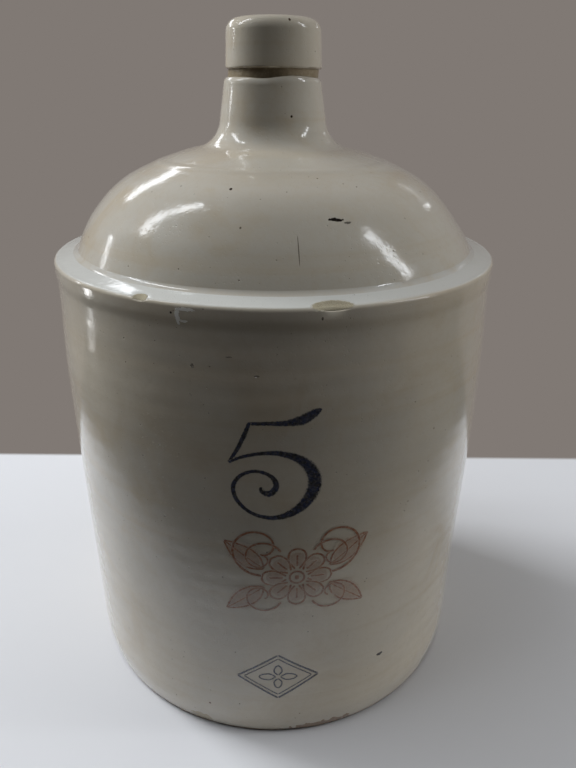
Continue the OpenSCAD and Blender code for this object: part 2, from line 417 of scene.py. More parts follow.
@dataclass(frozen=True)
class HandMarks:
    """Small unevenness that the thrower's hands and the kiln leave in every piece.

    Sways and ripples are metres at rates in waves a metre, and leans are shifts to the right
    that begin at a height and are full after a run.
    """

    sway: float = 0.55 * MM
    sway_rate: float = 8.0
    dome_lean: float = -1.5 * MM
    dome_from: float = 322 * MM
    dome_run: float = 24 * MM
    collar_lean: float = 0.6 * MM
    collar_from: float = 424 * MM
    collar_run: float = 8 * MM
    ripple: float = 0.08 * MM
    ripple_rate: float = 42.0
    ring: float = 0.045 * MM
    ring_pitch: float = 13 * MM
    ring_wander: float = 2.2
    ring_rate: float = 11.0
    droop: float = 0.5 * MM
    still_h: float = 14 * MM
    full_r: float = 90 * MM

    def move(self, place: Vector) -> Vector:
        """Move a point of the ideal form to where the hand left it.

        Args:
            place: Point on the ideal form.

        Returns:
            The moved point. Points on the table stay there.
        """
        radius = math.hypot(place.x, place.y)
        if radius < MM:
            return place.copy()
        size = min(radius / self.full_r, 1.0) * fade(place.z, 0, self.still_h)
        turn = math.sin(FULL_TURN * place.z / self.ring_pitch
                        + self.ring_wander
                        * noise.noise(place * self.ring_rate + Vector((3, 1, 4))))
        shift = (self.sway * noise.noise(place * self.sway_rate)
                 + self.ripple * noise.noise(place * self.ripple_rate + Vector((9, 2, 6)))
                 + self.ring * turn) * size
        lift = self.droop * noise.noise(place * self.sway_rate + Vector((5, 8, 2))) * size
        scale = 1 + shift / radius
        dome = fade(place.z, self.dome_from, self.dome_from + self.dome_run)
        collar = fade(place.z, self.collar_from, self.collar_from + self.collar_run)
        aside = self.dome_lean * dome + self.collar_lean * collar
        return Vector((place.x * scale + aside, place.y * scale, place.z + lift))


@dataclass(frozen=True)
class Chip:
    """A place where the edge has been knocked off, down to the bare clay.

    The angle is counted from the front towards the right, in degrees. The reach is half the
    size along the edge, outwards and up. Ragged, blur and fall are shares: how far the edge
    wanders, how softly it runs out and how far it falls for its depth. Stain is how far the
    edge of the bare clay wanders, and grain the cells a metre of both.
    """

    angle: float
    radius: float
    height: float
    reach: Triple
    depth: float
    ragged: float = 0.16
    stain: float = 0.12
    grain: float = 420.0
    blur: float = 0.35
    fall: float = 0.8

    @property
    def centre(self) -> Vector:
        """Middle of the chip."""
        return from_front(self.angle, self.radius, self.height)

    def bite(self, place: Vector) -> float:
        """Measure how deep the chip cuts.

        Args:
            place: Point on the whole wall.

        Returns:
            The depth there, in metres.
        """
        turned = Matrix.Rotation(-math.radians(self.angle), 3, "Z") @ (place - self.centre)
        local = Vector([turned[i] / self.reach[i] for i in range(3)])
        wander = self.ragged * noise.noise(place * self.grain)
        return self.depth * fade(1.0 - local.length + wander, 0.0, self.blur)


class Finish(Enum):
    """The record's slots, each with its own material."""

    BARE_CLAY = "bare_clay"
    INNER_SLIP = "inner_slip"
    BODY_GLAZE = "body_glaze"
    DOME_GLAZE = "dome_glaze"
    LUTE_GLAZE = "lute_glaze"
    COLLAR_GLAZE = "collar_glaze"
    HANDLE_GLAZE = "handle_glaze"
    COBALT_INK = "cobalt_ink"
    IRON_INK = "iron_ink"


def linear(tone: Rgb) -> tuple[float, float, float, float]:
    """Turn a colour as seen on a screen into the shader's own values, by the sRGB curve.

    Args:
        tone: Red, green and blue, each from 0 to 255.

    Returns:
        The colour with an alpha of 1.
    """
    parts = [c / 255 for c in tone]
    made = [c / 12.92 if c <= 0.04045 else ((c + 0.055) / 1.055) ** 2.4 for c in parts]
    return made[0], made[1], made[2], 1.0


class NodeSheet:
    """A tree of shader nodes, written as one call for each node."""

    def __init__(self, tree: bpy.types.NodeTree) -> None:
        """Keep the tree."""
        self.tree = tree

    def feed(self, socket: Socket, value: object) -> None:
        """Link or set one input.

        Args:
            socket: The input.
            value: Another node's output, a number, a place or a colour.
        """
        if isinstance(value, Socket):
            self.tree.links.new(value, socket)
        else:
            socket.default_value = value

    def node(self, kind: str, inputs: dict[str | int, object] | None = None,
             **options: object) -> bpy.types.Node:
        """Add a node.

        Args:
            kind: Its type.
            inputs: What each of its inputs is fed.
            options: Its own settings.

        Returns:
            The node.
        """
        made = self.tree.nodes.new(kind)
        for key, option in options.items():
            setattr(made, key, option)
        for key, value in (inputs or {}).items():
            self.feed(made.inputs[key], value)
        return made

    def math(self, operation: str, first: Value, second: Value = 0.0) -> Socket:
        """One sum of two values."""
        return self.node("ShaderNodeMath", {0: first, 1: second}, operation=operation).outputs[0]

    def mix(self, share: Value, first: object, second: object) -> Socket:
        """Blend two colours."""
        inputs = {0: share, 6: first, 7: second}
        return self.node("ShaderNodeMix", inputs, data_type="RGBA").outputs[2]


class Recipe(NodeSheet):
    """A material's nodes, read from the object's own coordinates."""

    BLOT_EDGE = (1.08, 0.92)
    DOT_CORE = 0.4
    DOT_PICK = 0.01
    DOT_FIELDS = (55, 2)

    def __init__(self, name: str) -> None:
        """Start an empty material.

        Args:
            name: Name of the material.
        """
        self.material = bpy.data.materials.new(name)
        self.material.use_nodes = True
        super().__init__(self.material.node_tree)
        self.shader = self.tree.nodes["Principled BSDF"]
        self.place = self.node("ShaderNodeTexCoord").outputs["Object"]

    def dress(self, inputs: dict[str, object]) -> None:
        """Feed the shader's own inputs."""
        for key, value in inputs.items():
            self.feed(self.shader.inputs[key], value)

    def along(self, axis: str) -> Socket:
        """The place's distance along X, Y or Z."""
        return self.node("ShaderNodeSeparateXYZ", {0: self.place}).outputs[axis]

    def stretched(self, scale: Triple) -> Socket:
        """The place, stretched along each axis."""
        return self.node("ShaderNodeMapping", {"Vector": self.place, "Scale": scale}).outputs[0]

    def noise(self, scale: float, detail: float = 3.0, roughness: float = 0.5,
              warp: float = 0.0, place: Socket | None = None) -> Socket:
        """Write a cloudy noise from 0 to 1.

        Args:
            scale: Cells a metre.
            detail: Finer layers that are added.
            roughness: How strong each finer layer is.
            warp: How far the noise is distorted.
            place: Where it is read, or the object's own place if it is left out.

        Returns:
            The noise.
        """
        inputs = {"Vector": place or self.place, "Scale": scale, "Detail": detail,
                  "Roughness": roughness, "Distortion": warp}
        return self.node("ShaderNodeTexNoise", inputs).outputs["Fac"]

    def span(self, value: Value, low: float, high: float, start: float = 0.0,
             end: float = 1.0) -> Socket:
        """Carry a value smoothly from one range to another, held at its ends."""
        inputs = {"Value": value, "From Min": low, "From Max": high, "To Min": start, "To Max": end}
        return self.node("ShaderNodeMapRange", inputs, interpolation_type="SMOOTHSTEP").outputs[0]

    def dots(self, scale: float, size: float, share: float) -> Socket:
        """Scattered specks.

        Args:
            scale: Cells a metre.
            size: Radius of a speck, as a share of its cell.
            share: Share of the cells without a speck.

        Returns:
            Their mask.
        """
        cells = self.node("ShaderNodeTexVoronoi", {"Vector": self.place, "Scale": scale}).outputs
        spot = self.span(cells["Distance"], size, self.DOT_CORE * size)
        picked = self.span(cells["Color"], share, share + self.DOT_PICK)
        weight = self.span(self.noise(*self.DOT_FIELDS), 0.3, 0.7, 0.3, 1.0)
        return self.math("MULTIPLY", self.math("MULTIPLY", spot, picked), weight)

    def blot(self, centre: Vector, reach: Triple, angle: float, ragged: float,
             grain: float) -> Socket:
        """A mask, 1 inside a ragged oval blot and 0 outside.

        Args:
            centre: Middle of the blot.
            reach: Half sizes along the wall, outwards and up.
            angle: Angle from the front to which the blot is turned, in degrees.
            ragged: How far the edge wanders, as a share of the reach.
            grain: Cells a metre of that wander.

        Returns:
            The mask.
        """
        inputs = {"Vector": self.place, "Location": centre,
                  "Rotation": (0, 0, math.radians(angle)), "Scale": reach}
        local = self.node("ShaderNodeMapping", inputs, vector_type="TEXTURE").outputs[0]
        length = self.node("ShaderNodeVectorMath", {0: local}, operation="LENGTH").outputs["Value"]
        wander = self.math("MULTIPLY", self.math("SUBTRACT", self.noise(grain, 2), 0.5), 2 * ragged)
        return self.span(self.math("ADD", length, wander), *self.BLOT_EDGE)

    def bump(self, height: Value, depth: float, under: Socket | None = None) -> Socket:
        """Raise the surface by a height in shares of depth.

        Args:
            height: The relief, from 0 to 1.
            depth: Its depth in metres.
            under: The relief that it lies on.

        Returns:
            The normal.
        """
        made = self.node("ShaderNodeBump", {"Strength": 1.0, "Distance": depth, "Height": height})
        if under is not None:
            self.feed(made.inputs["Normal"], under)
        return made.outputs[0]


@dataclass(frozen=True)
class Cloud:
    """A noise in cells a metre, which counts as 0 below low and as full above high."""

    scale: float
    low: float
    high: float
    detail: float = 3.0
    roughness: float = 0.5
    warp: float = 0.0
    stretch: Triple | None = None

    def mask(self, recipe: Recipe, least: float = 0.0, most: float = 1.0) -> Socket:
        """Lay the noise between two values.

        Args:
            recipe: The material being written.
            least: Value where the noise is low.
            most: Value where it is high.

        Returns:
            The mask.
        """
        place = recipe.stretched(self.stretch) if self.stretch else None
        fog = recipe.noise(self.scale, self.detail, self.roughness, self.warp, place)
        return recipe.span(fog, self.low, self.high, least, most)


@dataclass(frozen=True)
class Mark:
    """A small fault or stain in the glaze, as a ragged oval blot. The scar's blots are nearly
    white, a painted highlight that the raised scar catches.

    The angle is counted from the front towards the right, in degrees, and the reach is half
    the size along the wall, outwards and up. The share is how strongly it colours. Ragged is
    how far its edge wanders, as a share of the reach, and grain the cells a metre of that
    wander. The lift is how far it stands out of the glaze, in metres, negative if it is sunk.
    """

    angle: float
    radius: float
    height: float
    reach: Triple
    tone: Rgb
    share: float = 1.0
    ragged: float = 0.35
    grain: float = 400.0
    lift: float = 0.0

    def mask(self, recipe: Recipe) -> Socket:
        """Write the blot's mask, weighed by its share.

        Args:
            recipe: The material being written.

        Returns:
            The mask.
        """
        centre = from_front(self.angle, self.radius, self.height)
        blot = recipe.blot(centre, self.reach, self.angle, self.ragged, self.grain)
        return recipe.math("MULTIPLY", blot, self.share)


@dataclass(frozen=True)
class Band:
    """A level at which the glaze's colour changes: a dark edge, and in some uses painted light,
    such as a painted reflection on the ledge and painted shade under the collar.

    The wander and the edge are shares of the reach, and least is its weakest share.
    """

    height: float
    reach: float
    tone: Rgb
    share: float
    wander: float
    least: float = 0.25
    edge: float = 0.75

    DRIFT = (34, 4)
    PATCHES = Cloud(90, 0.36, 0.62)

    def mask(self, recipe: Recipe) -> Socket:
        """Write the band's mask, uneven along its length.

        Args:
            recipe: The material being written.

        Returns:
            The mask.
        """
        drift = recipe.math("SUBTRACT", recipe.noise(*self.DRIFT), 0.5)
        wander = recipe.math("MULTIPLY", drift, 2 * self.wander * self.reach)
        above = recipe.math("SUBTRACT", recipe.along("Z"), self.height)
        away = recipe.math("ABSOLUTE", recipe.math("ADD", above, wander))
        near = recipe.span(away, self.reach, (1 - self.edge) * self.reach)
        patchy = self.PATCHES.mask(recipe, self.least)
        return recipe.math("MULTIPLY", recipe.math("MULTIPLY", near, patchy), self.share)


@dataclass(frozen=True)
class Ink:
    """Colour stamped under the glaze, which pales and breaks up towards its edges."""

    slot: Finish
    tone: Rgb
    pale: Rgb
    gaps: float
    ragged: float = 0.9

    EDGE = (0.04, 0.36)
    FRINGE = (1500, 3, 0.6)
    WORN = Cloud(520, 0.30, 0.62, 4, 0.65)
    PALER = Cloud(330, 0.38, 0.64, 4, 0.6)

    def lay(self, recipe: Recipe, under: Socket) -> Socket:
        """Lay the print over the glaze's colour.

        Args:
            recipe: The material being written.
            under: Colour of the glaze.

        Returns:
            The colour of both.
        """
        film, strength = (recipe.node("ShaderNodeAttribute", attribute_name=name).outputs["Fac"]
                          for name in ("film", "strength"))
        fringe = recipe.math("SUBTRACT", recipe.noise(*self.FRINGE), 0.5)
        edge = recipe.math("ADD", film, recipe.math("MULTIPLY", fringe, self.ragged))
        worn = self.WORN.mask(recipe, 1.0 - self.gaps)
        share = recipe.math("MULTIPLY", recipe.span(edge, *self.EDGE), worn)
        tone = recipe.mix(self.PALER.mask(recipe), linear(self.tone), linear(self.pale))
        return recipe.mix(recipe.math("MULTIPLY", share, strength), under, tone)


@dataclass(frozen=True)
class Glaze:
    """Pale feldspar glaze, with the bands, specks and pits that firing leaves in it, and with
    painted reflection, shade and highlight in some of its bands and marks.

    Rough and coat are the shader's own values. Stain, band and mottle are the most that
    stains, throwing rings and mottling tint. Peel is the depth of the fine unevenness in
    metres, and the other peels are shares of it. The lists of specks and pits hold cells a
    metre, a speck's radius as a share of its cell and the share of the cells without one.
    The other lists hold a noise's scale, detail and roughness.
    """

    slot: Finish
    tone: Rgb = (205, 195, 176)
    warm: Rgb = (188, 172, 145)
    cool: Rgb = (192, 185, 171)
    speck: Rgb = (82, 64, 48)
    clay: Rgb = (158, 148, 124)
    clay_pale: Rgb = (178, 170, 148)
    rough: float = 0.13
    chip_rough: float = 0.85
    coat: float = 0.6
    coat_rough: float = 0.035
    ior: float = 1.5
    stain: float = 0.6
    band: float = 0.35
    mottle: float = 0.22
    peel: float = 0.14 * MM
    under_peel: float = 0.25
    fine_peel: float = 0.4
    pin_peel: float = 1.2
    wave_depth: float = 0.32 * MM
    pit_depth: float = 0.25 * MM
    grain_depth: float = 0.5 * MM
    marks: tuple[Mark, ...] = ()
    bands: tuple[Band, ...] = ()
    chips: tuple[Chip, ...] = ()

    BROAD = Cloud(7, 0.36, 0.68, 4, 0.55, 0.4)
    STAIN = Cloud(16, 0.5, 0.74, 5, 0.6, 0.8)
    RINGS = Cloud(1.0, 0.48, 0.72, 4, 0.6, stretch=(2.5, 2.5, 95))
    MOTTLE = Cloud(240, 0.42, 0.72, 4, 0.7)
    SHEEN = Cloud(60, 0.3, 0.7, 4)
    SWELL = (26, 3)
    PEEL = (210, 3, 0.55)
    FINE_PEEL = (480, 2)
    CLAY_TONES = (380, 5, 0.7)
    CLAY_GRAIN = (900, 6, 0.7)
    SPECKS = ((420, 0.15, 0.82), (190, 0.11, 0.74), (80, 0.06, 0.8))
    PINHOLES = (540, 0.34, 0.45)
    PITS = (190, 0.13, 0.74)

    def colour(self, recipe: Recipe) -> Socket:
        """Write the colour of the glaze, without the chips.

        Args:
            recipe: The material being written.

        Returns:
            The colour.
        """
        tone = recipe.mix(self.BROAD.mask(recipe), linear(self.cool), linear(self.tone))
        for cloud, most in ((self.STAIN, self.stain), (self.RINGS, self.band),
                            (self.MOTTLE, self.mottle)):
            tone = recipe.mix(cloud.mask(recipe, 0.0, most), tone, linear(self.warm))
        for specks in self.SPECKS:
            tone = recipe.mix(recipe.dots(*specks), tone, linear(self.speck))
        # Bands and marks include painted light: the ledge's painted reflection, painted shade under
        # the collar and the scar's painted highlight.
        for fault in (*self.bands, *self.marks):
            tone = recipe.mix(fault.mask(recipe), tone, linear(fault.tone))
        return tone

    def chipped(self, recipe: Recipe) -> Socket | None:
        """Write the mask of the chips.

        Args:
            recipe: The material being written.

        Returns:
            The mask, or nothing if there are no chips.
        """
        mask = None
        for chip in self.chips:
            blot = recipe.blot(chip.centre, chip.reach, chip.angle, chip.stain, chip.grain)
            mask = blot if mask is None else recipe.math("MAXIMUM", mask, blot)
        return mask

    def relief(self, recipe: Recipe, chipped: Socket | None, peel: float) -> Socket:
        """Write the normal of the glaze.

        Args:
            recipe: The material being written.
            chipped: Mask of the chips, if there are any.
            peel: Depth of the peel in metres.

        Returns:
            The normal.
        """
        normal = recipe.bump(recipe.noise(*self.SWELL), self.wave_depth)
        normal = recipe.bump(recipe.noise(*self.PEEL), peel, normal)
        normal = recipe.bump(recipe.noise(*self.FINE_PEEL), self.fine_peel * peel, normal)
        for holes, depth in ((self.PINHOLES, self.pin_peel * peel), (self.PITS, self.pit_depth)):
            face = recipe.math("SUBTRACT", 1.0, recipe.dots(*holes))
            normal = recipe.bump(face, depth, normal)
        for mark in self.marks:
            if mark.lift:
                normal = recipe.bump(mark.mask(recipe), mark.lift, normal)
        if chipped is None:
            return normal
        grain = recipe.math("MULTIPLY", recipe.noise(*self.CLAY_GRAIN), chipped)
        return recipe.bump(grain, self.grain_depth, normal)

    def make(self, ink: Ink | None = None) -> bpy.types.Material:
        """Write the material.

        Args:
            ink: Colour of a print that lies under the glaze.

        Returns:
            The material, named after the ink's slot or its own.
        """
        recipe = Recipe((ink or self).slot.value)
        chipped = self.chipped(recipe)
        tone = self.colour(recipe)
        rough = self.SHEEN.mask(recipe, 0.75 * self.rough, 1.35 * self.rough)
        coat: Value = self.coat
        if ink is not None:
            tone = ink.lay(recipe, tone)
        if chipped is not None:
            tones = recipe.noise(*self.CLAY_TONES)
            bare = recipe.mix(tones, linear(self.clay), linear(self.clay_pale))
            tone = recipe.mix(chipped, tone, bare)
            dull = recipe.math("MULTIPLY", chipped, self.chip_rough)
            rough = recipe.math("MAXIMUM", rough, dull)
            coat = recipe.math("MULTIPLY", recipe.math("SUBTRACT", 1.0, chipped), self.coat)
        recipe.dress({"Base Color": tone, "Roughness": rough, "Coat Weight": coat,
                      "Coat Roughness": self.coat_rough, "IOR": self.ior,
                      "Normal": self.relief(recipe, chipped, self.under_peel * self.peel),
                      "Coat Normal": self.relief(recipe, chipped, self.peel)})
        return recipe.material


@dataclass(frozen=True)
class BareClay:
    """Fired clay without glaze: brown, dull and grainy, darker where it flashed; the waist's darker
    copy is painted shade.
    """

    name: str = Finish.BARE_CLAY.value
    tone: Rgb = (116, 88, 60)
    dark: Rgb = (66, 46, 30)
    pale: Rgb = (158, 136, 104)
    rough: float = 0.88
    grain: float = 0.7
    coarse_depth: float = 0.5 * MM
    fine_depth: float = 0.18 * MM

    PATCHES = Cloud(38, 0.36, 0.66, 5, 0.6, 0.6)
    GRAIN = Cloud(420, 0.45, 0.72, 5, 0.7)
    COARSE = (130, 5, 0.6)
    FINE = (900, 5, 0.7)

    def make(self) -> bpy.types.Material:
        """Write the material.

        Returns:
            The material.
        """
        recipe = Recipe(self.name)
        tone = recipe.mix(self.PATCHES.mask(recipe), linear(self.dark), linear(self.tone))
        tone = recipe.mix(self.GRAIN.mask(recipe, 0.0, self.grain), tone, linear(self.pale))
        normal = recipe.bump(recipe.noise(*self.COARSE), self.coarse_depth)
        normal = recipe.bump(recipe.noise(*self.FINE), self.fine_depth, normal)
        recipe.dress({"Base Color": tone, "Roughness": self.rough, "Normal": normal})
        return recipe.material


def settle(mesh: Mesh, sharp_deg: float) -> None:
    """Merge doubles, turn the faces outwards and keep edges sharper than an angle.

    Args:
        mesh: The mesh.
        sharp_deg: The angle, in degrees.
    """
    bmesh.ops.remove_doubles(mesh, verts=mesh.verts, dist=0.01 * MM)
    bmesh.ops.recalc_face_normals(mesh, faces=mesh.faces)
    for face in mesh.faces:
        face.smooth = True
    for edge in mesh.edges:
        edge.smooth = edge.calc_face_angle(0.0) < math.radians(sharp_deg)


def placed(mesh: Mesh, name: str, materials: Sequence[bpy.types.Material]) -> bpy.types.Object:
    """Put a finished mesh into the scene.

    Args:
        mesh: The mesh, which is freed.
        name: Name of the object.
        materials: Its materials, in the order of the faces' material numbers.

    Returns:
        The new object.
    """
    data = bpy.data.meshes.new(name)
    mesh.to_mesh(data)
    mesh.free()
    made = bpy.data.objects.new(name, data)
    bpy.context.scene.collection.objects.link(made)
    for material in materials:
        data.materials.append(material)
    return made


def publish(mesh: Mesh, name: str, nodes: Sequence[str], slot: Finish,
            *materials: bpy.types.Material) -> None:
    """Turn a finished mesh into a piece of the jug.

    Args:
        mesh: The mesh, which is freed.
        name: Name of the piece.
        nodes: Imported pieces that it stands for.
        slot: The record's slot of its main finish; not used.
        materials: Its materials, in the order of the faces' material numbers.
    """
    made = placed(mesh, name, materials)
    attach(made, BODY)
    if nodes:
        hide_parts(*nodes)
    LOG.info("%s: %d faces", name, len(made.data.polygons))


def spun(outline: Sequence[Point], steps: int, closed: bool = True) -> Mesh:
    """Turn an outline on the jug's axis.

    Args:
        outline: Distances from the axis and heights, in order.
        steps: Steps round the axis.
        closed: Whether the last point is joined to the first. An open outline starts and ends
            on the axis.

    Returns:
        The turned mesh.
    """
    mesh = bmesh.new()
    verts = [mesh.verts.new((0, r, z)) for r, z in outline]
    edges = [mesh.edges.new(pair) for pair in zip(verts, verts[1:])]
    if closed:
        edges.append(mesh.edges.new((verts[-1], verts[0])))
    bmesh.ops.spin(mesh, geom=verts + edges, axis=AXIS, cent=ORIGIN, angle=FULL_TURN,
                   steps=steps, use_merge=True, use_duplicate=False)
    return mesh


def extruded(mesh: Mesh, row: Sequence[Vert], edges: Sequence[bmesh.types.BMEdge]) -> list[Vert]:
    """Extrude a row of vertices along with the edges that join them.

    Args:
        mesh: The mesh.
        row: The vertices.
        edges: The edges that join them.

    Returns:
        The new vertices, in the order of the old ones.
    """
    made = bmesh.ops.extrude_edge_only(mesh, edges=edges)["geom"]
    fresh = {item for item in made if isinstance(item, Vert)}
    return [next(edge.other_vert(vert) for edge in vert.link_edges
                 if edge.other_vert(vert) in fresh) for vert in row]


def wave_round(place: Vector, waves: Sequence[Triple]) -> float:
    """Height of waves that run round the axis, at a place.

    Args:
        place: The place.
        waves: For each wave its size, its count round the axis and its start in radians.

    Returns:
        The height, in the waves' own unit.
    """
    turn = math.atan2(place.x, -place.y)
    return sum(size * math.sin(count * turn + start) for size, count, start in waves)


@dataclass(frozen=True)
class ClayPart:
    """A part of the jug, with the form that it follows and the hand that left it uneven."""

    form: JugForm
    hand: HandMarks

    def place(self, ideal: Vector) -> Vector:
        """Where a point of the ideal form lies."""
        return self.hand.move(ideal)

    def inner_face(self, middle: Vector, normal: Vector) -> int:
        """Tell a face that looks towards the jug's inside, as 1, from one that looks out."""
        return int((middle - AXIS * self.form.socket_z).dot(normal) < 0)

    def finish(self, mesh: Mesh, sharp_deg: float,
               side: Callable[[Vector, Vector], int] | None = None,
               dip: Callable[[Vector], Vector] | None = None) -> None:
        """Settle a mesh, give its faces their materials and move it as the hand left it.

        Args:
            mesh: The mesh on the ideal form.
            sharp_deg: Angle above which an edge stays sharp, in degrees.
            side: Gives the material number of a face by its middle and normal.
            dip: Moves each point before the hand does.
        """
        settle(mesh, sharp_deg)
        if side is not None:
            for face in mesh.faces:
                face.material_index = side(face.calc_center_median(), face.normal)
        for vert in mesh.verts:
            vert.co = self.place(dip(vert.co) if dip else vert.co)


@dataclass(frozen=True)
class CrockWall(ClayPart):
    """The thrown wall with its lip, and the socket that takes the dome."""

    chips: tuple[Chip, ...] = ()
    steps: int = 480
    sharp_deg: float = 50.0

    def outline(self) -> list[Point]:
        """Lay the closed outline of the wall's section.

        Returns:
            Its points.
        """
        form = self.form
        face = form.wall_outline
        shelf = (form.socket_r - form.shelf_w, form.socket_z)
        upper = (form.belly_r - form.wall_t, form.socket_z - form.shelf_run)
        lower = (form.heel_r - form.wall_t, form.coil_top_z + form.heel_h)
        return (face + straight(face[-1], (form.socket_r, form.ledge_z), 5)
                + [(form.socket_r, form.socket_z), shelf] + eased(shelf, upper, 8)
                + eased(upper, lower, 22) + eased(lower, (form.bed_r, form.coil_top_z), 8)
                + [(form.bed_r, form.slab_edge_h)])

    def place(self, ideal: Vector) -> Vector:
        """Find where a point of the ideal wall lies after throwing, firing and knocks.

        Args:
            ideal: Point on the ideal wall.

        Returns:
            Its place.
        """
        moved = self.hand.move(ideal)
        for chip in self.chips:
            bite = chip.bite(ideal)
            if bite > 0:
                inward = Vector((-ideal.x, -ideal.y, 0)).normalized()
                moved += inward * bite - AXIS * bite * chip.fall
        return moved

    def slipped(self, middle: Vector, normal: Vector) -> int:
        """Tell the wall's inside from its glazed face.

        Args:
            middle: Middle of a face.
            normal: Its normal; not used.

        Returns:
            1 for the inside, 0 for the glazed face.
        """
        inner_r = self.form.heel_r - self.form.wall_t / 2
        low = middle.z < self.form.socket_z + MM
        return int(low and math.hypot(middle.x, middle.y) < inner_r)

    def build(self, glaze: bpy.types.Material, slip: bpy.types.Material) -> None:
        """Build and dress the wall.

        Args:
            glaze: Material of its face.
            slip: Material of its inside.
        """
        mesh = spun(self.outline(), self.steps)
        self.finish(mesh, self.sharp_deg, self.slipped)
        publish(mesh, "thrown_wall", ["crock_wall"], Finish.BODY_GLAZE, glaze, slip)


@dataclass(frozen=True)
class FloorSlab(ClayPart):
    """The round slab of bare clay under the wall, and the coil in its inner corner."""

    steps: int = 360
    coil_steps: int = 240
    sharp_deg: float = 40.0

    def glazed(self, middle: Vector, normal: Vector) -> int:
        """Tell the slab's edge that the glaze runs over, as 1, from its bare clay."""
        outer = math.hypot(middle.x, middle.y) > self.form.foot_r - self.form.slab_round
        return int(outer and middle.z > self.form.slab_round)

    def build(self, clay: bpy.types.Material, glaze: bpy.types.Material) -> None:
        """Build and dress the slab, whose edge the wall's glaze runs over.

        Args:
            clay: Material of the bare clay.
            glaze: Material of the edge.
        """
        form = self.form
        edge = (form.foot_r - form.slab_round, form.slab_round)
        top = (form.heel_radius(form.slab_edge_h), form.slab_edge_h)
        bed = (form.bed_r, form.floor_t)
        outline = ([(0, 0)] + straight((0, 0), (edge[0], 0), 24)
                   + arc(edge, form.slab_round, -90, 0, 6)[1:]
                   + straight((form.foot_r, form.slab_round), top, 3)
                   + straight(top, (form.bed_r, form.slab_edge_h), 3)
                   + [bed] + straight(bed, (0, form.floor_t), 16))
        mesh = spun(outline, self.steps, closed=False)
        self.finish(mesh, self.sharp_deg, self.glazed)
        publish(mesh, "slab", ["floor_slab"], Finish.BARE_CLAY, clay, glaze)

    def build_coil(self, slip: bpy.types.Material) -> None:
        """Build and dress the coil.

        Args:
            slip: Its material.
        """
        form = self.form
        radius = form.coil_top_z - form.floor_t
        hollow = arc((form.bed_r - radius, form.coil_top_z), radius, 0, -90, 12)
        mesh = spun([(form.bed_r, form.floor_t)] + hollow, self.coil_steps)
        self.finish(mesh, self.sharp_deg)
        publish(mesh, "corner_coil", ["foot_coil"], Finish.INNER_SLIP, slip)


